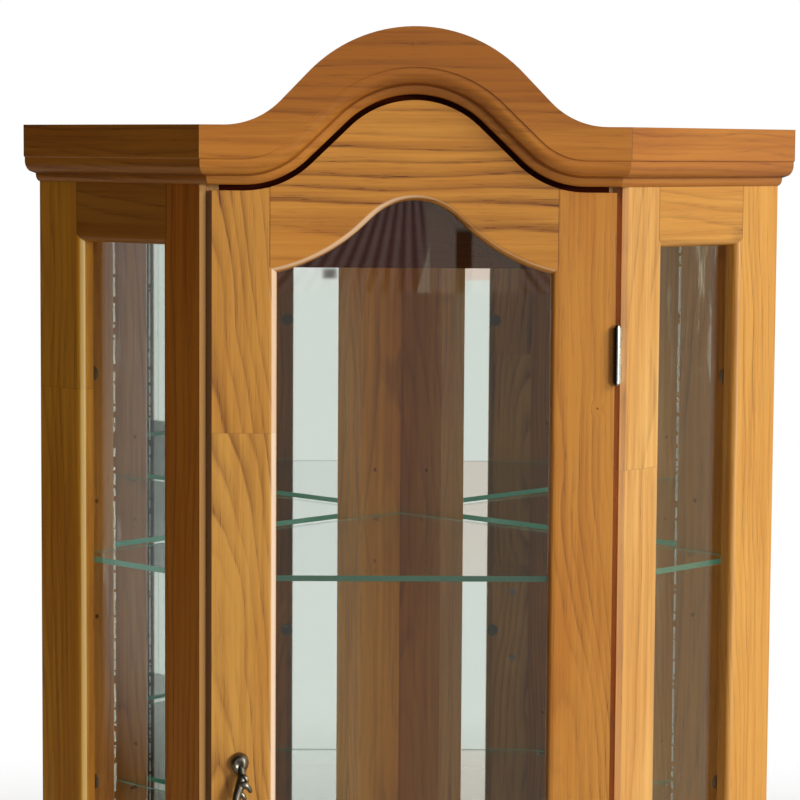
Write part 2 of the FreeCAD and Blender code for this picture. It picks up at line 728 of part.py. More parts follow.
def make_boards():
    board("deck_board", inside_plan("Plan.stop_y", "Plan.back_inner"), "Plan.deck_bottom",
          "Sizes.deck_top")
    board("ceiling_panel", inside_plan("Plan.stop_back", "Plan.back_inner"), "Plan.ceiling_bottom",
          "Plan.ceiling_top")
    left, right, right_back, left_back = stop_plan()
    top = [
        ("-Plan.header_inner", "Plan.header_back"),
        left,
        left_back,
        right_back,
        right,
        ("Plan.header_inner", "Plan.header_back"),
        ("Plan.header_inner", "0"),
        ("Plan.post_half", "0"),
        ("Plan.tip_x", "Plan.tip_y"),
        ("0", "Plan.corner_y"),
        ("-Plan.tip_x", "Plan.tip_y"),
        ("-Plan.post_half", "0"),
        ("-Plan.header_inner", "0"),
    ]
    board("top_board", top, "Plan.frame_top", "Sizes.wing_top")
    back = "Plan.stop_y + Sizes.board_thickness"
    rail = [
        ("-Plan.inner_x - Plan.stop_y", "Plan.stop_y"),
        ("Plan.inner_x + Plan.stop_y", "Plan.stop_y"),
        (f"Plan.inner_x + {back}", back),
        (f"-Plan.inner_x - ({back})", back),
    ]
    board("deck_front_rail", rail, "Sizes.foot_height + Sizes.apron_rise", "Plan.deck_bottom")
    block = [
        ("0", "Plan.back_inner"),
        ("-Sizes.corner_block", "Plan.back_inner - Sizes.corner_block"),
        ("Sizes.corner_block", "Plan.back_inner - Sizes.corner_block"),
    ]
    board("rear_corner_block", block, "Sizes.foot_height", "Plan.deck_bottom")


def make_battens():
    """Battens over the ceiling and cleats under the deck, along both sides."""
    for side, word in ((-1, "left"), (1, "right")):
        ceiling = batten_plan("Sizes.batten_width")
        board(f"ceiling_batten_{word}", mirrored(ceiling, side), "Plan.ceiling_top",
              "Plan.ceiling_top + Sizes.batten_width", side_frame(side))
        deck = batten_plan("2 * Sizes.batten_width")
        board(f"deck_cleat_{word}", mirrored(deck, side), "Plan.deck_bottom - Sizes.cleat_height",
              "Plan.deck_bottom", side_frame(side))


def batten_plan(start):
    inner = "Sizes.side_thickness"
    outer = "Sizes.side_thickness + Sizes.batten_width"
    end = "Sizes.side_length - Sizes.back_thickness - Sizes.batten_width"
    return [(start, inner), (end, inner), (end, outer), (start, outer)]


# ---------------------------------------------------------------- backs, mirrors and linings

SHELVES = ("upper", "middle", "lower")


def shelf_top(number):
    """Height of a shelf's top, counted from 0 for the upper one."""
    return f"(Sizes.wing_top - Sizes.shelf_drop - {number} * Sizes.shelf_pitch)"


def peg_heights():
    """Heights of all the peg holes: each shelf's own, and one above and one below it."""
    seat = "Sizes.shelf_thickness + Sizes.shelf_seat_gap + Sizes.pin_radius"
    return [f"{shelf_top(n)} - ({seat}) + {step} * Sizes.peg_pitch"
            for n in range(len(SHELVES)) for step in (-1, 0, 1)]


def make_backs():
    low, high = "Sizes.foot_height", "Plan.frame_top"
    ends = {-1: "Plan.wall_length", 1: "Plan.wall_length - Sizes.back_thickness"}
    lining_ends = {-1: "Plan.wall_length - Sizes.back_thickness",
                   1: "Plan.wall_length - Plan.lining_front"}
    for side, word in ((-1, "left"), (1, "right")):
        frame = wall_frame(side)
        panel = strip("Sizes.side_thickness", ends[side], "0", "Sizes.back_thickness")
        board(f"back_panel_{word}", mirrored(panel, side), low, high, frame)
        rear_end = f"Plan.rear_end_{word}"
        mirror = strip(f"{rear_end} + Sizes.mirror_clearance",
                       "Plan.corner_lining_start - Sizes.mirror_clearance",
                       "Sizes.back_thickness", "Sizes.back_thickness + Sizes.mirror_thickness")
        board(f"mirror_{word}", mirrored(mirror, side), "Sizes.deck_top",
              "Plan.ceiling_bottom - Sizes.mirror_clearance", frame)
        rear = strip("Sizes.side_thickness", rear_end, "Sizes.back_thickness", "Plan.lining_front")
        lining(f"rear_lining_{word}", rear, f"{rear_end} - Sizes.pin_inset", side)
        corner = strip("Plan.corner_lining_start", lining_ends[side], "Sizes.back_thickness",
                       "Plan.lining_front")
        lining(f"corner_lining_{word}", corner, "Plan.corner_lining_start + Sizes.pin_inset", side)


def strip(start, end, outer, inner):
    return [(start, outer), (end, outer), (end, inner), (start, inner)]


def lining(name, outline, pin_place, side):
    """An upright board on a back panel, with the peg holes for the shelf pins."""
    body = board(name, mirrored(outline, side), "Sizes.deck_top", "Plan.ceiling_bottom",
                 wall_frame(side))
    centres = [(f"{side} * ({pin_place})", f"{height} - Sizes.deck_top") for height in peg_heights()]
    drill(body, name + "_pegs", "Plan.lining_front", centres,
          "Sizes.pin_radius + Sizes.pin_clearance", "Sizes.pin_depth + 1")


# ---------------------------------------------------------------- glazed sides

def make_side(side, word):
    """One glazed side: post, rear stile and two rails, cut from one moulded frame."""
    thick, length = size("side_thickness"), size("side_length")
    bevel = size("edge_round")
    low, high = size("foot_height"), size("frame_top")
    first, last = size("front_stile"), length - size("rear_stile")
    bottom, top = size("glass_bottom"), size("wing_top") - size("side_glass_drop")

    def place(u, w, z):
        return Vector(side * u, w, z)

    # The post's front end: its front edge, the door's side gap and the stop behind the door.
    edge, stop = size("post_strip"), size("stop_y")
    root = math.sqrt(2)
    front_end = [(0, 0), (-edge / root, edge / root), ((stop - edge) / root, (stop + edge) / root),
                 (root * stop - thick, thick)]
    section = front_end + [(length, thick), (length, 0)]
    frame = polygon(section, lambda u, w: place(u, w, low)).extrude(Vector(0, 0, high - low))

    def opening(offset, w):
        """The flat edge of the glass opening, or a parallel inside it, in the plane at w."""
        spots = [place(u, w, z) for u, z in ((first + offset, bottom + offset),
                                             (last - offset, bottom + offset),
                                             (last - offset, top - offset),
                                             (first + offset, top - offset))]
        return Part.makePolygon(spots + spots[:1])

    frame = frame.cut(Part.Face(opening(bevel, 0)).extrude(Vector(0, thick, 0)))
    rabbet_at = size("side_rabbet")
    seat = bevel - size("rabbet_width")
    frame = frame.cut(Part.Face(opening(seat, rabbet_at)).extrude(Vector(0, thick, 0)))

    far = 2 * length
    regions = {
        f"post_{word}": [(-far, 0), (first, 0), (first, bottom), (first + bevel, bottom + bevel),
                         (first + bevel, top - bevel), (first, top), (first, high), (-far, high)],
        f"rear_stile_{word}": [(far, 0), (last, 0), (last, bottom), (last - bevel, bottom + bevel),
                               (last - bevel, top - bevel), (last, top), (last, high), (far, high)],
        f"side_top_rail_{word}": [(first, high), (last, high), (last, top),
                                  (last - bevel, top - bevel), (first + bevel, top - bevel),
                                  (first, top)],
        f"side_bottom_rail_{word}": [(first, 0), (last, 0), (last, bottom),
                                     (last - bevel, bottom + bevel), (first + bevel, bottom + bevel),
                                     (first, bottom)],
    }
    for name, region in regions.items():
        prism = polygon(region, lambda u, z: place(u, -thick, z)).extrude(Vector(0, 3 * thick, 0))
        piece = rounded(frame.common(prism), opening(bevel, 0))
        if name.startswith("post"):
            piece = piece.cut(post_pegs(side))
        if name == "post_right":
            piece = piece.cut(seen_from(side_frame(side), hinge_screws("frame")))
        solid(name, piece.Solids[0], side_frame(side))

    pane_low = bottom + seat + size("glass_clearance")
    glass_back = "Sizes.side_rabbet + Sizes.glass_thickness"
    pane = [(f"{first + seat} + Sizes.glass_clearance", "Sizes.side_rabbet"),
            (f"{last - seat} - Sizes.glass_clearance", "Sizes.side_rabbet"),
            (f"{last - seat} - Sizes.glass_clearance", glass_back),
            (f"{first + seat} + Sizes.glass_clearance", glass_back)]
    pane_high = top - seat - size("glass_clearance")
    board(f"side_glass_{word}", mirrored(pane, side), str(pane_low), str(pane_high), side_frame(side))

    clips = []
    for height in clip_heights():
        for u in (first + seat, last - seat):
            inwards = 1 if u < length / 2 else -1
            clips.append(glass_clip(place(u, 0, height), side * inwards,
                                    rabbet_at + size("glass_thickness"), thick))
    solid(f"side_glass_clips_{word}", Part.makeCompound(clips), side_frame(side))


def post_pegs(side):
    """The peg holes in a post's inner face."""
    thick = size("side_thickness")
    radius = size("pin_radius") + size("pin_clearance")
    depth = size("pin_depth") + 1
    spots = [Vector(side * size("pin_inset"), thick, sizes.evalExpression(z)) for z in peg_heights()]
    return Part.makeCompound([rod(s, Vector(0, -1, 0), radius, depth) for s in spots])


def clip_heights():
    """The rows of glass clips, from the top one down, as long as they are beside the glass."""
    start = size("wing_top") - size("clip_drop")
    rows = int((start - size("glass_bottom")) // size("clip_pitch")) + 1
    return [start - row * size("clip_pitch") for row in range(rows)]


def glass_clip(edge, inwards, glass_back, wood_back):
    """A round clip over the glass's edge at edge, with its pad on the pane and its screw head.

    inwards is the sense of x from the wood to the glass, and depths run along +y.
    """
    step = size("clip_radius") - size("clip_pad_inset")
    disc = rod(edge + Vector(0, wood_back, 0), Vector(0, 1, 0), size("clip_radius"),
               size("clip_thickness"))
    over_glass = edge + Vector(inwards * step, glass_back, 0)
    pad = rod(over_glass, Vector(0, 1, 0), size("clip_pad_radius"), wood_back - glass_back)
    head_at = edge + Vector(-inwards * step, wood_back + size("clip_thickness"), 0)
    head = rod(head_at, Vector(0, 1, 0), size("clip_screw_radius"), size("clip_screw_height"))
    return disc.fuse([pad, head])


# ---------------------------------------------------------------- door

def make_door():
    """The arched door: two stiles and two rails, cut from one moulded frame."""
    face, back = -size("door_proud"), size("door_back")
    thick = size("door_thickness")
    half, low = size("door_half"), size("base_height") + size("door_bottom_gap")
    bevel = size("edge_round")
    upper = door_arch.edges(0, face, half)
    corners = [end_of(upper), Vector(half, face, low), Vector(-half, face, low), start_of(upper)]
    rest = [Part.makeLine(a, b) for a, b in zip(corners, corners[1:])]
    frame = Part.Face(Part.Wire(upper + rest)).extrude(Vector(0, thick, 0))
    frame = frame.cut(Part.Face(sight_wire(0, face)).extrude(Vector(0, thick, 0)))
    rabbet_at = face + size("door_rabbet")
    seat = size("rabbet_width")
    frame = frame.cut(Part.Face(sight_wire(seat, rabbet_at)).extrude(Vector(0, thick, 0)))

    flat_x, flat_z = sight_corner(bevel)
    sight_x, sight_z = sight_corner(0)
    bottom = size("glass_bottom")
    high = size("wing_top") + size("cornice_rise")
    tongue = [(flat_x, 0), (flat_x, bottom), (sight_x, bottom + bevel), (sight_x, sight_z),
              (flat_x, flat_z), (flat_x, high)]
    hinge_side = [(2 * half, 0)] + tongue + [(2 * half, high)]
    latch_side = [(-x, z) for x, z in hinge_side]
    mirror_z = [(-x, z) for x, z in (tongue[5], tongue[4], tongue[3])]
    arch_rail = [tongue[5], tongue[4], tongue[3]] + mirror_z[::-1]
    low_corners = [tongue[0], tongue[1], tongue[2]]
    bottom_rail = low_corners + [(-x, z) for x, z in low_corners[::-1]]
    for name, region in (("door_hinge_stile", hinge_side), ("door_latch_stile", latch_side),
                         ("door_arch_rail", arch_rail), ("door_bottom_rail", bottom_rail)):
        prism = polygon(region, lambda x, z: Vector(x, face - thick, z))
        piece = rounded(frame.common(prism.extrude(Vector(0, 3 * thick, 0))), sight_wire(0, face))
        if name == "door_latch_stile":
            piece = piece.cut(Part.makeCompound(handle_holes()))
        if name == "door_hinge_stile":
            piece = piece.cut(hinge_screws("door"))
        solid(name, piece.Solids[0])

    glass_edge = sight_wire(seat - size("glass_clearance"), rabbet_at)
    pane = Part.Face(glass_edge).extrude(Vector(0, size("glass_thickness"), 0))
    solid("door_glass", pane)
    clips = []
    for height in clip_heights():
        for sense in (-1, 1):
            edge = Vector(sense * (sight_x + seat), 0, height)
            clips.append(glass_clip(edge, -sense, rabbet_at + size("glass_thickness"), back))
    solid("door_glass_clips", Part.makeCompound(clips))


# ---------------------------------------------------------------- pull, hinges and catch

def handle_spot(sense):
    """Where one of the pull's screws meets the door's face."""
    return Vector(-size("handle_side"), -size("door_proud"),
                  size("handle_height") + sense * size("handle_half"))


def handle_holes():
    radius = size("screw_radius") + size("screw_clearance")
    return [rod(handle_spot(s), Vector(0, 1, 0), radius, size("door_thickness")) for s in (-1, 1)]


def make_handle():
    """A cast bow pull with domed feet and a leaf near each, and its screws from behind."""
    out = Vector(0, -1, 0)
    low, high = handle_spot(-1), handle_spot(1)
    foot = size("handle_foot_height")
    middle = (low + high) * 0.5 + out * size("handle_reach")
    path = Part.Wire(Part.Arc(low + out * foot, middle, high + out * foot).toShape())
    start = path.Edges[0]
    ring = Part.Wire(Part.makeCircle(size("handle_radius"), start.valueAt(start.FirstParameter),
                                     start.tangentAt(start.FirstParameter)))
    bow = path.makePipeShell([ring], True, False)
    cast = []
    for spot, sense in ((low, -1), (high, 1)):
        cast.append(Part.makeSphere(size("handle_foot_radius"), spot + out * foot))
        leaf = spot + Vector(sense * size("handle_leaf_aside"), 0, -sense * size("handle_leaf_drop"))
        leaf.y = middle.y + size("handle_leaf_radius") / 2
        cast.append(Part.makeSphere(size("handle_leaf_radius"), leaf))
    keep = box_between((2 * low.x, 2 * middle.y, 0), (0, low.y, 2 * high.z))
    solid("door_handle", bow.fuse(cast).common(keep).removeSplitter().Solids[0])
    screws = []
    for spot in (low, high):
        behind = spot - out * size("door_thickness")
        shank = rod(spot, -out, size("screw_radius"), size("door_thickness"))
        head = rod(behind, -out, size("screw_head_radius"), size("screw_head_height"))
        screws.append(shank.fuse(head))
    solid("handle_screws", Part.makeCompound(screws))


def hinge_axis():
    """The hinge pins' line, before the gap between the door and the right-hand post."""
    x = size("door_half") + size("door_side_gap") / 2 - size("hinge_axis_shift")
    return Vector(x, -size("door_proud") - size("knuckle_air") - size("knuckle_radius"), 0)


def make_hinges():
    """Butt hinges: knuckles round their pins, leaves in the gap, and their screws."""
    gap_x = size("door_half")
    post_x = gap_x + size("door_side_gap")
    axis = hinge_axis()
    length, thick = size("hinge_length"), size("leaf_thickness")
    bore = size("hinge_pin_radius") + size("hinge_pin_clearance")
    third = length / 3
    leaf_front = axis.y + size("knuckle_radius") + size("knuckle_gap")
    leaf_end = {"frame": size("stop_y") - size("leaf_end_gap"),
                "door": size("door_back") - size("leaf_end_gap")}
    leaf_x = {"frame": (post_x - thick, post_x), "door": (gap_x, gap_x + thick)}
    knuckles = {"frame": ((0, third), (2 * third, length)), "door": ((third, 2 * third),)}
    pieces = {"frame": [], "door": [], "pin": []}
    for middle in hinge_heights():
        base = middle - length / 2
        for kind in ("frame", "door"):
            near, far = leaf_x[kind]
            leaf = box_between((near, leaf_front, base), (far, leaf_end[kind], base + length))
            bodies = []
            for start, end in knuckles[kind]:
                start = start + (size("knuckle_gap") / 2 if start else 0)
                end = end - (size("knuckle_gap") / 2 if end < length else 0)
                at = axis + Vector(0, 0, base + start)
                bodies.append(rod(at, Vector(0, 0, 1), size("knuckle_radius"), end - start))
                bodies.append(box_between((near, axis.y, base + start),
                                          (far, leaf_front, base + end)))
            hole = rod(axis + Vector(0, 0, base), Vector(0, 0, 1), bore, length)
            pieces[kind].append(leaf.fuse(bodies).cut(hole).removeSplitter())
        pieces["pin"].append(hinge_pin(axis + Vector(0, 0, base), length))
    for kind in ("frame", "door"):
        screws = hinge_screws(kind)
        solid(f"hinge_{kind}_leaves", Part.makeCompound(pieces[kind]).cut(screws))
        solid(f"hinge_{kind}_screws", screws)
    solid("hinge_pins", Part.makeCompound(pieces["pin"]))


def hinge_pin(foot, length):
    """A pin with a dome at each end."""
    up = Vector(0, 0, 1)
    domes = [Part.makeSphere(size("hinge_tip_radius"), foot + up * length, up, 0, 90, 360),
             Part.makeSphere(size("hinge_tip_radius"), foot, -up, 0, 90, 360)]
    return rod(foot, up, size("hinge_pin_radius"), length).fuse(domes).removeSplitter()


def hinge_screws(kind):
    """Three countersunk screws through each leaf, into the post or into the door."""
    sense = 1 if kind == "frame" else -1
    screw_length = size("frame_screw_length" if kind == "frame" else "hinge_screw_length")
    face_x = size("door_half") + (size("door_side_gap") if kind == "frame" else 0)
    thick = size("leaf_thickness")
    leaf_end = size("stop_y" if kind == "frame" else "door_back") - size("leaf_end_gap")
    into = Vector(sense, 0, 0)
    screws = []
    for middle in hinge_heights():
        for step in (-1, 0, 1):
            at = Vector(face_x - sense * thick, leaf_end - size("hinge_screw_inset"),
                        middle + step * size("hinge_screw_pitch"))
            head = Part.makeCone(size("hinge_screw_head"), size("hinge_screw_radius"), thick, at, into)
            shank = rod(at, into, size("hinge_screw_radius"), screw_length)
            screws.append(head.fuse(shank).removeSplitter())
    return Part.makeCompound(screws)


def hinge_heights():
    top, low = size("wing_top") - size("hinge_drop"), size("hinge_low")
    return [low, (low + top) / 2, top]


def make_catch():
    """The magnetic catch under the stop board, and its strike plate on the latch stile."""
    left = f"-Plan.handle_side - Sizes.catch_width / 2"
    front = "Plan.door_back + Sizes.strike_thickness + Sizes.catch_gap"
    catch = [(left, front), (f"{left} + Sizes.catch_width", front),
             (f"{left} + Sizes.catch_width", f"{front} + Sizes.catch_depth"),
             (left, f"{front} + Sizes.catch_depth")]
    board("magnetic_catch", catch, "Plan.stop_bottom - Sizes.catch_height", "Plan.stop_bottom")
    strike = [(left, "Plan.door_back"), (f"{left} + Sizes.catch_width", "Plan.door_back"),
              (f"{left} + Sizes.catch_width", "Plan.door_back + Sizes.strike_thickness"),
              (left, "Plan.door_back + Sizes.strike_thickness")]
    board("strike_plate", strike, "Plan.stop_bottom - Sizes.catch_height", "Plan.stop_bottom")


# ---------------------------------------------------------------- shelves, pins and feet

def make_shelves():
    """Glass shelves, alike: front, two sides, two clipped corners and two backs."""
    side_y = "Plan.shelf_clip_half - Plan.shelf_side_x"
    back_y = "Plan.shelf_corner_y - Plan.shelf_clip_half"
    right = [("Plan.shelf_side_x + Sizes.shelf_front", "Sizes.shelf_front"),
             ("Plan.shelf_clip_half", side_y),
             ("Plan.shelf_clip_half", back_y)]
    outline = right + [("0", "Plan.shelf_corner_y")] + mirrored(right[::-1], -1)
    for number, word in enumerate(SHELVES):
        top = shelf_top(number)
        board(f"glass_shelf_{word}", outline, f"{top} - Sizes.shelf_thickness", top)


def make_shelf_pins():
    """Six pins under each shelf, in the posts, the rear linings and the corner linings."""
    pins = []
    for number in range(len(SHELVES)):
        seat = sizes.evalExpression(f"{shelf_top(number)} - Sizes.shelf_thickness")
        height = seat - size("shelf_seat_gap") - size("pin_radius")
        for side, word in ((-1, "left"), (1, "right")):
            pins.append(pin_at(side_frame(side), side * size("pin_inset"), size("side_thickness"),
                               height))
            wall = wall_frame(side)
            for x in (size(f"rear_end_{word}") - size("pin_inset"),
                      size("corner_lining_start") + size("pin_inset")):
                pins.append(pin_at(wall, side * x, size("lining_front"), height))
    solid("shelf_pins", Part.makeCompound(pins))


def pin_at(frame, x, face, height):
    """A pin out of a face at y = face of a frame, brought into plan coordinates."""
    pin = rod(Vector(x, face - size("pin_depth"), height), Vector(0, 1, 0), size("pin_radius"),
              size("pin_depth") + size("pin_reach"))
    pin.Placement = frame_place(frame)
    return pin


def make_feet():
    """Glides under the posts, the rear stiles and the rear corner block."""
    radius, tall = size("foot_radius"), size("foot_height")
    middle = size("side_thickness") / 2
    step = 1 / math.sqrt(2)
    spots = [Vector(0, size("back_inner") - size("foot_setback"), 0)]
    for side in (-1, 1):
        for along in (size("front_stile") / 2, size("side_length") - size("rear_stile") / 2):
            x = size("post_half") + (along - middle) * step
            spots.append(Vector(side * x, (along + middle) * step, 0))
    solid("glides", Part.makeCompound([rod(s, Vector(0, 0, 1), radius, tall) for s in spots]))


# ---------------------------------------------------------------- the whole cabinet

make_side_cornices()
make_front_cornice()
make_header()
make_stop()
make_base()
make_boards()
make_battens()
make_backs()
make_side(-1, "left")
make_side(1, "right")
make_door()
make_handle()
make_hinges()
make_catch()
make_shelves()
make_shelf_pins()
make_feet()
doc.recompute()

for item in doc.Objects:
    if "Invalid" in item.State or "Error" in item.State:
        raise RuntimeError(f"{item.Label} did not recompute: {item.State}")

os.makedirs("parts", exist_ok=True)
for item in doc.Objects:
    if item.TypeId not in ("PartDesign::Body", "Part::Feature"):
        continue
    if item.Shape.isNull() or not item.Shape.isValid():
        raise RuntimeError(f"{item.Label} has no valid shape")
    item.Shape.exportStep(f"parts/{item.Label}.step")
    print(item.Label, len(item.Shape.Solids), round(item.Shape.Volume))
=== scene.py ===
"""Finishes and fine pieces of a corner curio cabinet, round its fixed frame of boards, panes and fittings.

Each board carries its own grain, cut from a model of growth rings about a pith line. The panes are clear
and let the lamps in, the mirrors have a ground edge, and the pull on the door is a cast bow with scrolls.
"""

import math

import bmesh
import bpy
import numpy as np
from mathutils import Matrix, Vector


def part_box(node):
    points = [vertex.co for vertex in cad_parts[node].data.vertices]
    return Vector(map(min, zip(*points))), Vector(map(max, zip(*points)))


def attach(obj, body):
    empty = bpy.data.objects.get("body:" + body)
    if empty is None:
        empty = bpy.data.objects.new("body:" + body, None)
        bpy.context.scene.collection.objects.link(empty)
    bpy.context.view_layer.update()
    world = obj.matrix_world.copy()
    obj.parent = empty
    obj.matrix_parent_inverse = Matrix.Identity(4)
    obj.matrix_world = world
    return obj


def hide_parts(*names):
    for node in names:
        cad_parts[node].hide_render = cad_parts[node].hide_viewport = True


bl_info = {
    "name": "Corner curio cabinet",
    "version": (1, 0, 0),
    "blender": (4, 5, 0),
    "location": "View3D > Sidebar > Cabinet",
    "description": "Oak, glass, mirror and metal finishes of a glazed corner cabinet",
    "category": "Object",
}

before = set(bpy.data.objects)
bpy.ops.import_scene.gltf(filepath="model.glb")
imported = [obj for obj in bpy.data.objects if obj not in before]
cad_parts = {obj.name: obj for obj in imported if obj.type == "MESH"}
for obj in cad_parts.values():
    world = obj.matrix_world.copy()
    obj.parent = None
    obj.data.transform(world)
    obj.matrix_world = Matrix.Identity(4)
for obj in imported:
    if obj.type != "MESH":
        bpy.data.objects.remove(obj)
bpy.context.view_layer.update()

QUARTER = math.pi / 2
SIDE_TURN = math.pi / 4
BLACK = (0.0, 0.0, 0.0, 1.0)
WHITE = (1.0, 1.0, 1.0, 1.0)


# -------- settings


def shade(name, description, default, top=1.0):
    """A colour that can be set, each channel from 0 to top."""
    return bpy.props.FloatVectorProperty(name=name, description=description, default=default, size=3,
                                         subtype="COLOR", min=0, max=top)


# What each kind of number is to Blender.
NUMBERS = {
    "share": {"subtype": "FACTOR", "min": 0, "max": 1},
    "amount": {"min": 0},
    "length": {"subtype": "DISTANCE", "unit": "LENGTH"},
    "angle": {"subtype": "ANGLE", "unit": "ROTATION"},
}


def measure(kind, name, description, default):
    """A number that can be set: a share from 0 to 1, an amount from 0 up, or a length or an angle."""
    return bpy.props.FloatProperty(name=name, description=description, default=default, **NUMBERS[kind])


class CabinetWood(bpy.types.PropertyGroup):
    """The stain and the grain."""

    light: shade("Light wood", "Colour between the grain lines", (0.70, 0.335, 0.062))
    tawny: shade("Tawny wood", "Second colour of the broad cloudy patches", (0.60, 0.245, 0.035))
    # This colour is also used as painted shade, on the door's left-facing edges and the cornice's lips.
    dark: shade("Grain lines", "Colour of the open pores, which take the most stain", (0.17, 0.045, 0.006))
    # A painted highlight: the pale colour given to rounded edges that face the front and the right, towards
    # the lamps.
    edge_highlight: shade("Edge highlight", "Colour of the painted highlight on rounded edges", (0.92, 0.69, 0.48))
    sheen: measure("share", "Lacquer", "Weight of the satin lacquer over the wood", 0.25)


class CabinetGlass(bpy.types.PropertyGroup):
    """Panes, shelves and mirrors."""

    pane: shade("Pane", "What a pane lets through", (0.965, 0.98, 0.97))
    dimmed: measure("share", "Dimmed", "The share of the lamps' light that a pane lets in", 0.42)
    # This colour is also the colour of the painted glow on the shelves' edges.
    shelf_edge: shade("Shelf edge", "Colour of a shelf's polished edge", (0.045, 0.15, 0.095))
    silver: shade("Silver", "What the mirrors send back", (0.85, 0.87, 0.85))


class CabinetPull(bpy.types.PropertyGroup):
    """The cast bow pull on the door."""

    lobe: measure("length", "Lobe radius", "Half the width of a foot", 0.0095)
    dome: measure("length", "Foot height", "How far a foot stands out from the door", 0.0105)
    bow: measure("length", "Bow radius", "Half the thickness of the grip", 0.0042)
    bronze: shade("Bronze", "Colour of the plating", (0.235, 0.215, 0.175))


class CabinetStage(bpy.types.PropertyGroup):
    """Floor, lamps and surroundings."""

    key: measure("amount", "Key lamp", "Strength of the broad soft lamp, at the upper right", 1.62)
    key_azimuth: measure("angle", "Key azimuth", "Angle of the key lamp to the right", math.radians(56))
    key_height: measure("angle", "Key elevation", "Angle of the key lamp above level", math.radians(28))
    fill: measure("amount", "Fill lamp", "Strength of the level lamp that reaches in through the panes", 1.1)
    fill_azimuth: measure("angle", "Fill azimuth", "Angle of the fill lamp to the right", math.radians(38))
    fill_height: measure("angle", "Fill elevation", "Angle of the fill lamp above level", math.radians(4))
    sky: shade("Surroundings", "How the surroundings light matt surfaces", (0.195, 0.142, 0.076))
    lean: measure("amount", "Lean", "How much more soft light comes from the right than the left", 0.55)
    curtain: shade("Curtain", "What gloss and glass show in front, above eye level", (1.0, 0.78, 0.71))
    grey: shade("Grey stretch", "Colour of a greyer stretch of the curtain", (1.15, 1.0, 0.82), top=2)
    haze: shade("Haze", "What a pane shows of the room in front, below eye level", (0.58, 0.60, 0.56))
    pale: shade("Pale room", "What the two mirrors together show of the room in front", (0.98, 1.0, 0.98))
    window: shade("Window", "What gloss shows of the room's bright right side", (1.1, 1.05, 0.74), top=2)
    gloom: measure("amount", "Gloom", "What gloss shows of the rest of the room", 0.02)
    floor: shade("Floor", "Colour of the floor", (0.86, 0.86, 0.85))


# -------- node trees


# Signs for the operations of Math and Vector Math nodes.
SIGNS = {"+": "ADD", "-": "SUBTRACT", "*": "MULTIPLY", "/": "DIVIDE", "*+": "MULTIPLY_ADD"}


def add(tree, kind, *values, **settings):
    """A new node. Each value fills the input at its place: a socket is linked, a number or colour is set."""
    made = tree.nodes.new("ShaderNode" + kind)
    for key, value in settings.items():
        setattr(made, key, value)
    for place, value in enumerate(values):
        fill(tree, made.inputs[place], value)
    return made


def fill(tree, socket, value):
    """Links a socket to this input, or sets the input's own value."""
    if isinstance(value, bpy.types.NodeSocket):
        tree.links.new(value, socket)
    else:
        socket.default_value = value


def feed(tree, node, **values):
    """Fills inputs of a node by name, with _ for a space."""
    for label, value in values.items():
        fill(tree, node.inputs[label.replace("_", " ")], value)


def calc(tree, operation, *values):
    """A Math node's result. The operation is a sign, or Blender's own word for it."""
    return add(tree, "Math", *values, operation=SIGNS.get(operation, operation)).outputs[0]


def vector_calc(tree, operation, *values):
    """A Vector Math node's result: a vector for a sign, a number for Blender's DOT_PRODUCT and the like."""
    made = add(tree, "VectorMath", *values, operation=SIGNS.get(operation, operation))
    return made.outputs[0 if operation in SIGNS else 1]


def spread(tree, value, low, high, to_low=0.0, to_high=1.0, smooth=True):
    """value carried from low..high to to_low..to_high, held at the ends."""
    kind = "SMOOTHSTEP" if smooth else "LINEAR"
    made = add(tree, "MapRange", value, low, high, to_low, to_high, interpolation_type=kind)
    return made.outputs[0]


def within(tree, value, low, high, soft):
    """1 where value lies between low and high, else 0, with soft ends."""
    return calc(tree, "*", spread(tree, value, low - soft, low + soft),
                spread(tree, value, high - soft, high + soft, 1.0, 0.0))


def mix(tree, share, first, second, way="MIX"):
    """first and second mixed by share."""
    made = add(tree, "Mix", data_type="RGBA", blend_type=way)
    for place, value in ((0, share), (6, first), (7, second)):
        fill(tree, made.inputs[place], value)
    return made.outputs[2]


def noise(tree, vector, stretch, detail=2.0, rough=0.5):
    """Noise on vector times stretch, from 0 to 1."""
    scaled = vector_calc(tree, "*", vector, stretch)
    made = add(tree, "TexNoise")
    feed(tree, made, Vector=scaled, Scale=1.0, Detail=detail, Roughness=rough)
    return made.outputs["Fac"]


def rgba(colour, times=1.0):
    """A colour times a number, with full alpha."""
    return (*(times * value for value in colour), 1.0)


def surface(name, colour, roughness, metallic=0.0):
    """A new material with one Principled shader: (material, tree, shader)."""
    material = bpy.data.materials.new(name)
    material.use_nodes = True
    tree = material.node_tree
    shader = tree.nodes["Principled BSDF"]
    feed(tree, shader, Base_Color=rgba(colour), Roughness=roughness, Metallic=metallic)
    material.diffuse_color = rgba(colour)
    return material, tree, shader


def room_place(tree):
    """Where a point is in the room at rest, in metres."""
    return add(tree, "TexCoord").outputs["Object"]


def raise_surface(tree, shader, height, strength, distance):
    """Makes the surface look raised by height times distance, in metres."""
    bump = add(tree, "Bump")
    feed(tree, bump, Strength=strength, Distance=distance, Height=height)
    feed(tree, shader, Normal=bump.outputs[0])


def finish_nodes(material, *names):
    """Gives nodes of the frame their material."""
    for name in names:
        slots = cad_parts[name].data.materials
        slots.clear()
        slots.append(material)


# -------- wood

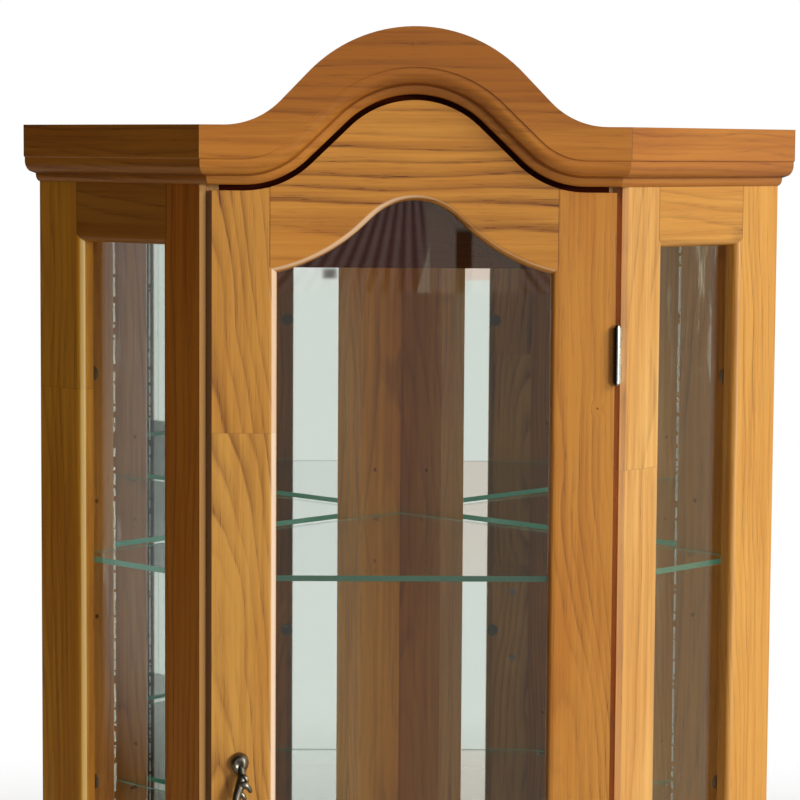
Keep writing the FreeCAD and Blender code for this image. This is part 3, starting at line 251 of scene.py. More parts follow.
# How a tree's rings lie in a board: the pith line's place across and behind the middle of its face in
# metres, how far it leans along the board, the ring's width, and the strength of the lines.
PITH = {
    "door_latch_stile": (-0.032, 0.050, 0.045, 0.0062, 1.15),
    "door_hinge_stile": (-0.030, 0.040, 0.030, 0.0046, 0.7),
    "door_arch_rail": (0.075, 0.050, -0.012, 0.0125, 1.35),
    "cornice_front": (0.120, 0.060, 0.010, 0.0100, 0.55),
    "header_board": (0.060, 0.060, 0.010, 0.0090, 0.8),
    "post_left": (0.055, 0.030, 0.020, 0.0070, 0.8),
    "post_right": (0.030, 0.055, 0.030, 0.0070, 0.5),
    "rear_stile_left": (-0.050, 0.030, 0.015, 0.0070, 0.7),
    "rear_stile_right": (-0.060, 0.030, 0.020, 0.0055, 0.6),
    "corner_lining_left": (0.010, 0.060, 0.030, 0.0070, 0.7),
    "corner_lining_right": (-0.010, 0.045, 0.030, 0.0070, 0.7),
    "rear_lining_right": (0.010, 0.060, 0.050, 0.0080, 0.8),
}
PLAIN_PITH = (0.050, 0.045, 0.020, 0.0070, 0.7)

# What a board's colours are multiplied by: for most boards how its stain came out, the cornices stained
# darker and redder, and for some boards painted light and shade, as marked below.
TONE_AND_PAINTED_LIGHT = {
    "cornice_front": (0.87, 0.71, 0.54),
    "cornice_left": (0.70, 0.57, 0.36),
    "cornice_right": (0.78, 0.58, 0.30),
    "door_arch_rail": (1.03, 0.97, 0.88),
    "door_hinge_stile": (1.02, 0.92, 0.80),
    # Painted shade: the stop board behind the arch is painted nearly black and the header board darker, as
    # the shade that falls there.
    "door_stop_board": (0.11, 0.03, 0.006),
    "header_board": (0.50, 0.36, 0.25),
    # Painted light and shade: the left post is painted darker as shade, and the right post and right rear
    # stile brighter and bluer as a painted sheen.
    "post_left": (0.84, 0.64, 0.32),
    "post_right": (1.22, 1.45, 2.4),
    "rear_stile_left": (1.08, 1.05, 0.52),
    "rear_stile_right": (1.12, 1.16, 1.2),
    # Painted light and shade: the left top rail is painted darker as shade, and the right one brighter and
    # bluer as a painted sheen.
    "side_top_rail_left": (0.68, 0.60, 0.40),
    "side_top_rail_right": (1.06, 1.12, 1.15),
    "rear_lining": (1.15, 1.12, 0.85),
    # Painted light and shade: the left corner lining, which faces the lamps, is painted brighter as if lit,
    # and the right one darker as shade.
    "corner_lining_left": (1.34, 1.45, 1.2),
    "corner_lining_right": (0.84, 0.84, 0.62),
}

# Boards whose colour changes up their height: the heights in metres between which it changes, and what the
# colours are multiplied by below and above; the cornice's front grows darker and redder towards its top.
# Where the two heights meet, two lengths of wood are glued end to end, and the upper one's grain is moved on
# by UPPER_SEED.
CHANGE = {
    "door_latch_stile": (1.434, 1.434, (1.06, 1.12, 1.22), (0.97, 0.95, 0.92)),
    "post_right": (1.396, 1.396, (0.98, 0.95, 0.92), (1.0, 1.0, 1.0)),
    "rear_stile_left": (1.466, 1.466, (1.0, 1.0, 1.0), (0.94, 0.92, 0.9)),
    "cornice_front": (1.725, 1.790, (1.04, 1.08, 1.05), (0.69, 0.59, 0.39)),
}
UPPER_SEED = (7.3, 4.1, 5.7)

# Pin knots: a knot's place across the room and above the floor, and its radius, in metres.
KNOTS = {
    "door_hinge_stile": (0.189, 1.461, 0.0017),
    "cornice_front": (-0.004, 1.830, 0.0012),
}


def tone_and_light_of(name):
    """A board's own tone, its stain or painted light and shade, or that of its kind."""
    return TONE_AND_PAINTED_LIGHT.get(name) or TONE_AND_PAINTED_LIGHT.get(name.rpartition("_")[0]) or (1.0, 1.0, 1.0)


UPRIGHT_FRONT = ("door_hinge_stile", "door_latch_stile")
LEVEL_FRONT = ("door_arch_rail", "door_bottom_rail", "header_board", "door_stop_board", "cornice_front",
               "base_board_front", "base_moulding_front", "deck_front_rail")
UPRIGHT_SIDES = ("post", "rear_stile", "rear_lining", "corner_lining")
LEVEL_SIDES = ("side_top_rail", "side_bottom_rail", "cornice", "base_moulding", "ceiling_batten",
               "deck_cleat")
PANELS = ("back_panel_left", "back_panel_right", "top_board", "ceiling_panel", "deck_board",
          "rear_corner_block")

# Boards without lacquer, boards with a rounded edge, and boards on the backs, which face the other way.
HIDDEN = ("door_stop_board", "header_board")
FRAMES = ("door_", "post", "rear_stile", "side_")
WALL_PIECES = ("rear_lining", "corner_lining", "ceiling_batten", "deck_cleat")

# How strong the painted highlight on a rounded edge is: on the right-hand side, and elsewhere. How dark the
# painted shade is on an edge of the door that looks to the left, and on a cornice's lips.
HIGHLIGHT_RIGHT, HIGHLIGHT_ELSEWHERE = 0.05, 0.85
ARRIS_SHADE, LIP_SHADE = 0.5, 0.55

# Dark lines in metres: how far from a board's end it starts to darken and is darkest, how far from a glue
# line's middle it is darkest and ends, and how dark both are.
END_FROM, END_TO, END_STAIN = 0.0016, 0.0004, 0.7
GLUE_FROM, GLUE_TO, GLUE_STAIN = 0.0002, 0.0007, 0.22

# The strip of mirror on a lining's edge: its colour and its roughness.
STRIP_SILVER = (0.93, 0.94, 0.93, 1.0)
STRIP_POLISH = (0.02, 0.02, 0.02, 1.0)


# The noise behind each kind of mark in the wood: its stretch across, behind and along the board, how many
# octaves it has and how rough they are.
MARKS = {
    "sway": ((7.0, 7.0, 2.3), 2.0, 0.5),
    "ripple": ((34.0, 34.0, 8.0), 3.0, 0.5),
    "faint": ((18.0, 18.0, 5.0), 1.0, 0.5),
    "pores": ((620.0, 620.0, 34.0), 2.0, 0.6),
    "fibre": ((330.0, 330.0, 5.0), 3.0, 0.5),
    "cloud": ((9.0, 9.0, 2.2), 3.0, 0.5),
    "streak": ((120.0, 120.0, 3.4), 3.0, 0.6),
}
CENTRED_MARKS = ("sway", "ripple", "fibre", "streak")

# How far apart the slow sway and the fine ripple can carry a ring, in metres.
SWAY_REACH, RIPPLE_REACH = 0.055, 0.0042

# How dark a ring is, from its start at 0 to its end at 1, and how much the rings differ in strength.
RING_STOPS = ((0.0, 0.3), (0.09, 1.0), (0.24, 0.62), (0.55, 0.2), (0.9, 0.06), (1.0, 0.3))
RING_STRENGTHS = (0.35, 1.0)

# How much of the dark stain each kind of mark takes up.
PORE_STAIN, LINE_STAIN, FIBRE_STAIN, STREAK_STAIN = 0.42, 0.66, 0.44, 0.62


def grain_sockets(group):
    """Declares what the grain takes and gives."""
    for way, kind, labels in (("INPUT", "Vector", ("Board", "Seed")),
                              ("INPUT", "Float", ("Across", "Behind", "Lean", "Ring", "Strength")),
                              ("OUTPUT", "Color", ("Color",)), ("OUTPUT", "Float", ("Roughness", "Height"))):
        for label in labels:
            group.interface.new_socket(label, in_out=way, socket_type="NodeSocket" + kind)


def ring_number(group, given, marks):
    """The number of the ring that a point lies in.

    With x across, y behind and z along the board, it is
    (distance from the pith line + lean * z + slow sway + fine ripple) / ring width.
    """
    board = add(group, "SeparateXYZ", given["Board"]).outputs
    across = calc(group, "-", board[0], given["Across"])
    behind = calc(group, "-", board[1], given["Behind"])
    square = calc(group, "+", calc(group, "*", across, across),
                  calc(group, "*", behind, behind))
    reach = calc(group, "*+", board[2], given["Lean"], calc(group, "SQRT", square))
    reach = calc(group, "*+", marks["sway"], SWAY_REACH, reach)
    reach = calc(group, "*+", marks["ripple"], RIPPLE_REACH, reach)
    return calc(group, "/", reach, given["Ring"])


def ring_line(group, given, number, faint):
    """How dark a ring's line is. The open pores crowd near its start, so the line's darkness rises steeply
    there and fades over the ring, and each ring has a strength of its own."""
    ramp = add(group, "ValToRGB", calc(group, "FRACT", number))
    elements = ramp.color_ramp.elements
    for position, value in RING_STOPS:
        end = {0.0: 0, 1.0: -1}.get(position)
        element = elements.new(position) if end is None else elements[end]
        element.color = (value, value, value, 1.0)
    own = add(group, "TexWhiteNoise", noise_dimensions="1D")
    feed(group, own, W=calc(group, "FLOOR", number))
    strength = spread(group, own.outputs["Value"], 0.0, 1.0, *RING_STRENGTHS, smooth=False)
    line = calc(group, "*", calc(group, "*", ramp.outputs[0], strength), faint)
    return calc(group, "*", line, given["Strength"])


def grain_group(wood):
    """The rings of a tree cut by a board, with its pores, fibres, streaks and clouds, as a group of nodes."""
    group = bpy.data.node_groups.new("Oak grain", "ShaderNodeTree")
    grain_sockets(group)
    given = group.nodes.new("NodeGroupInput").outputs
    seeded = vector_calc(group, "+", given["Board"], given["Seed"])
    marks = {kind: noise(group, seeded, *look) for kind, look in MARKS.items()}
    for kind in CENTRED_MARKS:
        marks[kind] = calc(group, "-", marks[kind], 0.5)
    faint = spread(group, marks["faint"], 0.35, 0.6, 0.45, 1.0)
    line = ring_line(group, given, ring_number(group, given, marks), faint)
    pores = spread(group, marks["pores"], 0.55, 0.68)
    pores = calc(group, "*", pores, calc(group, "*+", line, 0.9, 0.22))

    stain = calc(group, "*+", pores, PORE_STAIN, calc(group, "*", line, LINE_STAIN))
    stain = calc(group, "*+", marks["fibre"], FIBRE_STAIN, stain)
    stain = calc(group, "*+", marks["streak"], STREAK_STAIN, stain)
    stain = add(group, "Math", stain, 0.0, operation="ADD", use_clamp=True).outputs[0]
    cloud = calc(group, "*", spread(group, marks["cloud"], 0.36, 0.66), 0.9)
    tawny = add(group, "Math", marks["streak"], 1.8, cloud, operation="MULTIPLY_ADD",
                use_clamp=True).outputs[0]
    ground = mix(group, tawny, rgba(wood.light), rgba(wood.tawny))
    colour = mix(group, stain, ground, rgba(wood.dark))
    rough = calc(group, "*+", stain, 0.14, 0.36)
    height = calc(group, "*", calc(group, "+", pores, line), -1.0)
    feed(group, group.nodes.new("NodeGroupOutput"), Color=colour, Roughness=rough, Height=height)
    return group


def board_frame(name, turn, level):
    """A board's own axes: x across its face, y behind it and z along its grain.

    Turning the room's axes by minus the face's angle about the vertical, and for a level board by a
    quarter turn about y, brings the grain to z. The middle of the board is then taken off.
    Returns the turn as Euler angles, the middle and the sizes.
    """
    turned = Matrix.Rotation(-turn, 3, "Z")
    if level:
        turned = Matrix.Rotation(-QUARTER, 3, "Y") @ turned
    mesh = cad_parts[name].data
    points = np.empty(len(mesh.vertices) * 3, np.float32)
    mesh.vertices.foreach_get("co", points)
    local = points.reshape(-1, 3) @ np.array(turned).T
    low, high = local.min(0), local.max(0)
    return turned.to_euler("XYZ"), (low + high) / 2, (high - low).tolist()


def seed_of(name):
    """A board's own offset into the noise, worked out from its name."""
    total = sum((place + 1) * ord(letter) for place, letter in enumerate(name))
    return tuple((total * step) % 17.0 + 3.0 for step in (0.754877666, 0.569840291, 0.438579))


def board_place(tree, name, turn, level):
    """Where a point is, in the room and in the board's own axes, with the board's sizes."""
    euler, middle, sizes = board_frame(name, turn, level)
    room = room_place(tree)
    board = add(tree, "Mapping", room)
    feed(tree, board, Location=[-value for value in middle], Rotation=euler)
    return room, board.outputs[0], sizes


def end_grain(tree, own, length):
    """How dark a board is at its ends, where it meets its neighbours."""
    away = calc(tree, "ABSOLUTE", own[2])
    return spread(tree, away, length / 2 - END_FROM, length / 2 - END_TO, 0.0, END_STAIN)


def silvered(tree, shader, out, width, colour, rough, height):
    """A board's colour, roughness and height with a strip of mirror on the edge that out points to."""
    edge = spread(tree, out, width / 2 - 0.0006, width / 2 - 0.0002)
    feed(tree, shader, Metallic=edge)
    colour = mix(tree, edge, colour, STRIP_SILVER)
    rough = mix(tree, edge, rough, STRIP_POLISH)
    return colour, rough, calc(tree, "*", height, calc(tree, "-", 1.0, edge))


def oak_board(name, group, wood, turn=0.0, level=False, rough_cut=0.0, joint=True, silver_edge=0):
    """The oak of one board, with darker end grain where it meets its neighbours.

    silver_edge is -1 or 1 for a board whose lower or upper edge across carries a strip of mirror.
    """
    material, tree, shader = surface("Oak " + name, wood.light, 0.4)
    room, board, (width, _, length) = board_place(tree, name, turn, level)
    own = add(tree, "SeparateXYZ", board).outputs
    across, behind, lean, ring, strength = PITH.get(name, PLAIN_PITH)
    seed, tint = seed_of(name), rgba(tone_and_light_of(name))
    darkened = []
    if name in CHANGE:
        seed, tint, glue = colour_up_height(tree, room, name, seed, tint)
        darkened.append(glue)
    if name in KNOTS:
        behind, core = pin_knot(tree, room, KNOTS[name], behind)
        darkened.append(core)
    if joint:
        darkened.append(end_grain(tree, own, length))
    grain = add(tree, "Group", node_tree=group)
    feed(tree, grain, Board=board, Seed=seed, Across=across, Behind=behind, Lean=lean, Ring=ring,
         Strength=strength * (1 - rough_cut))
    colour, rough, height = grain.outputs
    for share in darkened:
        colour = mix(tree, share, colour, rgba(wood.dark))
    if name.startswith("cornice"):
        # Painted shade where the cornice's moulding turns away from the front, at its lips.
        lip = spread(tree, facing(tree, turn), 0.35, 0.6, LIP_SHADE, 0.0)
        colour = mix(tree, lip, colour, rgba(wood.dark))
    elif name.startswith(FRAMES):
        colour = rounded_arris(tree, wood, colour, turn)
    # The board's tone: its stain, and on some boards painted light and shade.
    colour = mix(tree, 1.0, colour, tint, "MULTIPLY")
    if silver_edge:
        out = calc(tree, "*", own[0], silver_edge)
        colour, rough, height = silvered(tree, shader, out, width, colour, rough, height)
    coat, gloss = (0.0, 0.05) if name in HIDDEN else (wood.sheen, 0.4)
    feed(tree, shader, Base_Color=colour, Roughness=rough, Coat_Weight=coat, Coat_Roughness=0.3,
         Specular_IOR_Level=gloss)
    raise_surface(tree, shader, height, strength=0.35, distance=0.0004)
    finish_nodes(material, name)


def facing(tree, turn, across=False):
    """How far a point looks straight out from its board, 0 to 1, or across it, -1 to 1, wherever it moves."""
    normal = add(tree, "TexCoord").outputs["Normal"]
    way = (math.cos(turn), math.sin(turn), 0.0) if across else (math.sin(turn), -math.cos(turn), 0.0)
    made = vector_calc(tree, "DOT_PRODUCT", normal, way)
    return made if across else calc(tree, "ABSOLUTE", made)


def rounded_arris(tree, wood, colour, turn):
    """Painted light and shade on a board's rounded edges: a painted highlight in a pale wood colour where
    they face the front and the right of the cabinet, and on a board that looks to the front a painted shade
    where they look to the left."""
    arris = within(tree, facing(tree, turn), 0.25, 0.95, 0.04)
    # Edges that face halfway between the front and the lamps at the right get the painted highlight.
    halfway_facing = facing(tree, math.radians(30))
    weight = HIGHLIGHT_RIGHT if turn > 0 else HIGHLIGHT_ELSEWHERE
    edge_highlight = calc(tree, "*", arris, spread(tree, halfway_facing, 0.6, 0.8, 0.0, weight))
    colour = mix(tree, edge_highlight, colour, rgba(wood.edge_highlight))
    if turn:
        return colour
    # Painted shade on the door's edges that look to the left, away from the lamps.
    thick = spread(tree, facing(tree, turn, across=True), -0.8, -0.4, ARRIS_SHADE, 0.0)
    return mix(tree, thick, colour, rgba(wood.dark))


def colour_up_height(tree, place, name, seed, tint):
    """A colour that changes up a board, by its height above the floor: its seed, its tint, its glue line."""
    low, high, below, above = CHANGE[name]
    height = add(tree, "SeparateXYZ", place).outputs[2]
    glued = high - low < 0.001
    upper = spread(tree, height, low - 0.0001, high + 0.0001)
    tint = mix(tree, 1.0, tint, mix(tree, upper, rgba(below), rgba(above)), "MULTIPLY")
    if not glued:
        return seed, tint, 0.0
    seed = vector_calc(tree, "*+", upper, UPPER_SEED, seed)
    away = calc(tree, "ABSOLUTE", calc(tree, "-", height, low))
    return seed, tint, spread(tree, away, GLUE_FROM, GLUE_TO, GLUE_STAIN, 0.0)


def pin_knot(tree, place, knot, behind):
    """A small knot: the rings bend round it, and its core is dark.

    With d the distance from its centre on the face, the pith's depth grows by 3 radii at d = 0 and by
    nothing from d = 7 radii.
    """
    aside, height, radius = knot
    on_face = vector_calc(tree, "*", place, (1.0, 0.0, 1.0))
    away = vector_calc(tree, "DISTANCE", on_face, (aside, 0.0, height))
    bent = spread(tree, away, 0.0, 7 * radius, behind + 3 * radius, behind)
    return bent, spread(tree, away, 0.3 * radius, radius, 0.9, 0.0)


def side_boards(parts, level, group, wood):
    """Boards that come as a left and a right one. Those on the walls face the other way."""
    for part in parts:
        for side, sign in (("left", -1), ("right", 1)):
            turn = sign * SIDE_TURN * (-1 if part in WALL_PIECES else 1)
            edge = -sign if part == "rear_lining" else 0
            oak_board(f"{part}_{side}", group, wood, turn, level, silver_edge=edge)


# -------- glass and metal


# How far along its wall each mirror's ground line starts, in metres from the middle of the cabinet, how wide
# it is and how far noise moves its edges, the colour of the bare glass and its painted glow, and how rough
# silvered and ground glass are.
SILVER_LINE = {"mirror_left": -0.2517, "mirror_right": -0.2229}
LINE_WIDTH, LINE_RAGGED = 0.0024, 0.0032
BARE_GLASS, BARE_PAINTED_GLOW = (0.56, 0.56, 0.50, 1), (0.9, 0.9, 0.8, 1)
POLISHED, GROUND = 0.015, 0.4

# The index of refraction that the panes and shelves are given, and the most that a film sends back.
GLASS_INDEX = 1.38
FILM = 0.30

# How much brighter the painted glow on a shelf's other edges is than on its front edge, and how much of the
# edge colour glows as painted light.
EDGE_PAINTED_LIFT, EDGE_PAINTED_GLOW = 2.8, 0.25

# The colour of the painted shade on a metal's left side, away from the lamps, and its most, and how bright
# tarnish leaves a metal's colour.
PAINTED_SHADE, PAINTED_SHADE_SHARE = (0.02, 0.015, 0.01, 1.0), 0.92
TARNISH = 0.35

# Metals: the nodes that each is on, its colour, its roughness, how much of it is tarnished, how many patches
# of tarnish there are to a metre, and whether painted shade darkens its left side, away from the lamps.
METALS = {
    "Polished steel": (("hinge_frame_leaves", "hinge_door_leaves", "hinge_pins", "shelf_pins"),
                       (0.62, 0.60, 0.57), 0.22, 0.5, 160.0, True),
    "Zinc plated steel": (("hinge_frame_screws", "hinge_door_screws", "handle_screws", "strike_plate"),
                          (0.55, 0.55, 0.54), 0.32, 0.4, 300.0, False),
}
BRONZE_LOOK = (0.3, 0.75, 260.0)

# Plastics: the nodes that each is on, its colour, its roughness, and the share of the light it lets through.
PLASTICS = {
    "Clear plastic": (("side_glass_clips_left", "side_glass_clips_right", "door_glass_clips"),
                      (0.34, 0.31, 0.26), 0.14, 0.35),
    "Brown plastic": (("magnetic_catch",), (0.05, 0.03, 0.02), 0.4, 0.0),
    "Black plastic": (("glides",), (0.03, 0.03, 0.03), 0.5, 0.0),
}
PLASTIC_GRAIN = 900.0


def pane_glass(name, glass, smeared=False):
    """Clear glass that lets the lamps and the soft light through, so that what it encloses is lit.

    A smeared pane has a film on it in wiped streaks, which sends more light back.
    """
    material, tree, shader = surface(name, glass.pane, 0.0)
    feed(tree, shader, Transmission_Weight=1.0, IOR=GLASS_INDEX)
    if smeared:
        place = room_place(tree)
        streaks = spread(tree, noise(tree, place, (90.0, 90.0, 11.0), 4.0, 0.65), 0.54, 0.76)
        patches = spread(tree, noise(tree, place, (9.0, 9.0, 5.0), 2.0), 0.46, 0.66)
        film = calc(tree, "*", streaks, patches)
        feed(tree, shader, Metallic=calc(tree, "*", film, FILM))
    rays = add(tree, "LightPath").outputs
    through = calc(tree, "MAXIMUM", rays["Is Shadow Ray"], rays["Is Diffuse Ray"])
    let_in = mix(tree, rays["Is Shadow Ray"], rgba(glass.pane), rgba((glass.dimmed,) * 3))
    clear = add(tree, "BsdfTransparent", let_in)
    mixed = add(tree, "MixShader", through, shader.outputs[0], clear.outputs[0])
    feed(tree, tree.nodes["Material Output"], Surface=mixed.outputs[0])
    return material


def shelf_glass(name, glass):
    """Clear glass with green edges: a face that isn't level shows the colour of the glass's depth, with a
    painted glow that is brighter where it doesn't look to the front."""
    material = pane_glass(name, glass)
    tree = material.node_tree
    output = tree.nodes["Material Output"]
    clear = output.inputs["Surface"].links[0].from_socket
    edge = add(tree, "BsdfPrincipled")
    normal = add(tree, "SeparateXYZ", add(tree, "NewGeometry").outputs["Normal"]).outputs
    aside = spread(tree, normal[1], -0.9, -0.7)
    # A painted glow on the edges, brighter on those that don't look to the front.
    glow = mix(tree, aside, rgba(glass.shelf_edge), rgba(glass.shelf_edge, EDGE_PAINTED_LIFT))
    feed(tree, edge, Base_Color=rgba(glass.shelf_edge), Roughness=0.12, Emission_Strength=EDGE_PAINTED_GLOW,
         Emission_Color=glow)
    upright = spread(tree, calc(tree, "ABSOLUTE", normal[2]), 0.4, 0.6, 1.0, 0.0)
    mixed = add(tree, "MixShader", upright, clear, edge.outputs[0])
    feed(tree, output, Surface=mixed.outputs[0])
    return material


def mirror_finish(glass, node, sign):
    """Silvered glass, with a ragged, broken line of bare ground glass up its edge beside the rear lining.

    The wall runs along (sign, 1) / sqrt 2 in plan, so a point's place along it is (sign x + y) / sqrt 2.
    """
    material, tree, shader = surface("Silvered glass " + node, glass.silver, POLISHED, 1.0)
    edge = SILVER_LINE[node]
    place = room_place(tree)
    along = vector_calc(tree, "DOT_PRODUCT", place, (sign / math.sqrt(2), 1 / math.sqrt(2), 0.0))
    ragged = calc(tree, "-", noise(tree, place, (260.0, 260.0, 130.0), 3.0, 0.6), 0.5)
    along = calc(tree, "*+", ragged, LINE_RAGGED, along)
    strip = within(tree, along, edge, edge + LINE_WIDTH, 0.0004)
    broken = spread(tree, noise(tree, place, (60.0, 60.0, 140.0), 2.0), 0.40, 0.48)
    bare = calc(tree, "*", strip, broken)
    # The bare glass carries a faint painted glow.
    feed(tree, shader, Base_Color=mix(tree, bare, rgba(glass.silver), BARE_GLASS),
         Roughness=spread(tree, bare, 0.0, 1.0, POLISHED, GROUND),
         Emission_Color=mix(tree, bare, BLACK, BARE_PAINTED_GLOW), Emission_Strength=0.08)
    raise_surface(tree, shader, calc(tree, "*", bare, ragged), strength=1.0, distance=0.001)
    return material


def metal_finish(name, colour, roughness, tarnished, fine, shaded_left=False):
    """Plated metal: cloudy tarnish darkens it and roughens it a little, and where asked, painted shade
    darkens its left side, away from the lamps.
    """
    material, tree, shader = surface(name, colour, roughness, 1.0)
    cloud = noise(tree, room_place(tree), (fine, fine, fine), 4.0, 0.6)
    share = spread(tree, cloud, 0.35, 0.7, 0.0, tarnished)
    shown = mix(tree, share, rgba(colour), rgba(colour, TARNISH))
    if shaded_left:
        # Painted shade on the left side, which faces away from the lamps.
        left = spread(tree, facing(tree, 0.0, across=True), -0.3, 0.2, PAINTED_SHADE_SHARE, 0.0)
        shown = mix(tree, left, shown, PAINTED_SHADE)
    feed(tree, shader, Base_Color=shown,
         Roughness=spread(tree, cloud, 0.3, 0.7, roughness, roughness + 0.15))
    return material


def plastic_finish(name, colour, roughness, let_through):
    """Moulded plastic with a faint grain."""
    material, tree, shader = surface(name, colour, roughness)
    cloud = noise(tree, room_place(tree), (PLASTIC_GRAIN,) * 3, 2.0)
    raise_surface(tree, shader, cloud, strength=0.15, distance=0.0002)
    feed(tree, shader, Transmission_Weight=let_through,
         Roughness=spread(tree, cloud, 0.3, 0.7, roughness, roughness + 0.1))
    return material


# -------- surfaces


def band_faces(rows, columns):
    """The faces between neighbouring rows of a grid, whose columns close on themselves."""
    row, column = np.meshgrid(np.arange(rows - 1), np.arange(columns), indexing="ij")
    after = (column + 1) % columns
    return np.stack([row * columns + column, row * columns + after,
                     (row + 1) * columns + after, (row + 1) * columns + column], -1).reshape(-1, 4)


def fan_faces(middle, first, columns):
    """The faces from a middle point to a row that starts at the point first."""
    around = np.arange(columns)
    return np.stack([np.full(columns, middle), first + around, first + (around + 1) % columns], -1)


def grid_piece(points):
    """The corners and faces of a closed piece from a grid of points, rows along it and columns round it.

    The columns close on themselves, and each end row is shut by a fan to its middle point.
    """
    rows, columns = points.shape[:2]
    ends = np.stack([points[0].mean(0), points[-1].mean(0)])
    vertices = np.concatenate([points.reshape(-1, 3), ends])
    start = fan_faces(rows * columns, 0, columns)[:, [0, 2, 1]]
    end = fan_faces(rows * columns + 1, (rows - 1) * columns, columns)
    return vertices, band_faces(rows, columns).tolist() + start.tolist() + end.tolist()


def join_grids(name, grids, material, body):
    """One smooth-shaded piece from several grids of points, riding on a body. Its faces point outwards."""
    vertices, faces, start = [], [], 0
    for points, own_faces in map(grid_piece, grids):
        vertices.append(points)
        faces += [[index + start for index in face] for face in own_faces]
        start += len(points)
    mesh = bpy.data.meshes.new(name)
    mesh.from_pydata(np.concatenate(vertices).tolist(), [], faces)
    mesh.shade_smooth()
    mesh.materials.append(material)
    shell = bmesh.new()
    shell.from_mesh(mesh)
    bmesh.ops.recalc_face_normals(shell, faces=shell.faces)
    shell.to_mesh(mesh)
    shell.free()
    piece = bpy.data.objects.new(name, mesh)
    bpy.context.scene.collection.objects.link(piece)
    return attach(piece, body)


def tube(path, radii, sides=20):
    """Rings carried along a path.

    At each point p of the path the ring is  p + r (cos a * n + sin a * b),  where n and b stand square to
    the path and n lies in the door's face.
    """
    ahead = np.gradient(path, axis=0)
    ahead /= np.linalg.norm(ahead, axis=1, keepdims=True)
    across = np.cross(ahead, np.array([0.0, -1.0, 0.0]))
    across /= np.linalg.norm(across, axis=1, keepdims=True)
    outward = np.cross(across, ahead)
    angle = np.linspace(0, 2 * math.pi, sides, endpoint=False)
    ring = (np.cos(angle)[None, :, None] * across[:, None, :]
            + np.sin(angle)[None, :, None] * outward[:, None, :])
    return path[:, None, :] + np.asarray(radii)[:, None, None] * ring


# The cast leaves at the upper end of the pull: start, bend and tip of each as (aside, out, up) from the
# middle of the pull on the door's face, with the thickest and the tip radius, in millimetres.
PULL_LEAVES = (
    ((0.5, 11.0, 38.0), (8.5, 16.0, 38.5), (8.3, 14.5, 30.5), 2.6, 1.5),
    ((-1.5, 15.0, 30.0), (9.5, 18.0, 31.0), (12.2, 14.0, 20.5), 3.7, 2.1),
    ((-1.0, 16.0, 22.0), (8.5, 16.0, 17.0), (5.5, 13.5, 7.0), 2.6, 1.2),
)


def pull_bow(centre, reach, half, radius, steps=96):
    """The grip. With s from -1 at its lower end to 1 at its upper end, its middle line is
    (-wave sin 2 pi s, -root - rise (1 - |s|^2.6), half s), and it is a little thicker near |s| = 0.62."""
    s = np.linspace(-1, 1, steps)
    wave, root = 0.0027, 0.003
    rise = reach - radius - root
    path = np.stack([-wave * np.sin(2 * math.pi * s), -root - rise * (1 - np.abs(s) ** 2.6), half * s], -1)
    return tube(centre + path, radius * (1 + 0.25 * np.exp(-((np.abs(s) - 0.62) / 0.14) ** 2)))


def pull_foot(centre, end, half, radius, height, rows=24, columns=40):
    """A foot: an egg-shaped dome with a dished middle.

    With q from 0 at its middle to 1 at its rim, the height is  h sqrt(1 - q^3) (1 - 0.22 exp(-(q / 0.4)^2)).
    """
    q = np.linspace(0.03, 1, rows)[:, None]
    angle = np.linspace(0, 2 * math.pi, columns, endpoint=False)[None, :]
    rise = height * np.sqrt(np.maximum(1 - q ** 3, 0)) * (1 - 0.22 * np.exp(-(q / 0.4) ** 2))
    across = radius * q * np.cos(angle) * (1 + 0.12 * np.sin(angle))
    up = 1.25 * radius * q * np.sin(angle)
    return centre + np.stack([end * across, -rise - 0 * angle, end * (half + up)], -1)


def pull_leaf(centre, end, leaf, steps=28):
    """A leaf: a tube on the curve (1-t)^2 a + 2 t (1-t) b + t^2 c, thickest a third of the way along."""
    start, bend, tip = (np.array((end * aside, -out, end * up)) / 1000 for aside, out, up in leaf[:3])
    thick, fine = leaf[3] / 1000, leaf[4] / 1000
    t = np.linspace(0, 1, steps)[:, None]
    path = centre + (1 - t) ** 2 * start + 2 * t * (1 - t) * bend + t ** 2 * tip
    radii = (fine + (thick - fine) * np.exp(-((t - 0.33) / 0.4) ** 2)) * np.sqrt(1 - (2 * t - 1) ** 12 + 0.02)
    return tube(path, radii[:, 0], sides=16)


# -------- operators


class CABINET_OT_boards(bpy.types.Operator):
    """Gives every board and panel its own cut of golden oak"""

    bl_idname = "cabinet.boards"
    bl_label = "Oak boards"

    def execute(self, context):
        wood = context.scene.cabinet_wood
        group = grain_group(wood)
        for name in UPRIGHT_FRONT:
            oak_board(name, group, wood)
        for name in LEVEL_FRONT:
            oak_board(name, group, wood, level=True, joint=name != "cornice_front")
        side_boards(UPRIGHT_SIDES, False, group, wood)
        side_boards(LEVEL_SIDES, True, group, wood)
        for name in PANELS:
            turn = SIDE_TURN if name.endswith("left") else -SIDE_TURN
            upright = name.startswith(("back", "rear"))
            oak_board(name, group, wood, turn if upright else 0.0, not upright, rough_cut=0.3, joint=False)
        return {"FINISHED"}


class CABINET_OT_panes(bpy.types.Operator):
    """Glazes the door and the sides"""

    bl_idname = "cabinet.panes"
    bl_label = "Panes"

    def execute(self, context):
        settings = context.scene.cabinet_glass
        finish_nodes(pane_glass("Clear glass", settings), "door_glass")
        wiped = pane_glass("Wiped glass", settings, smeared=True)
        finish_nodes(wiped, "side_glass_left", "side_glass_right")
        return {"FINISHED"}


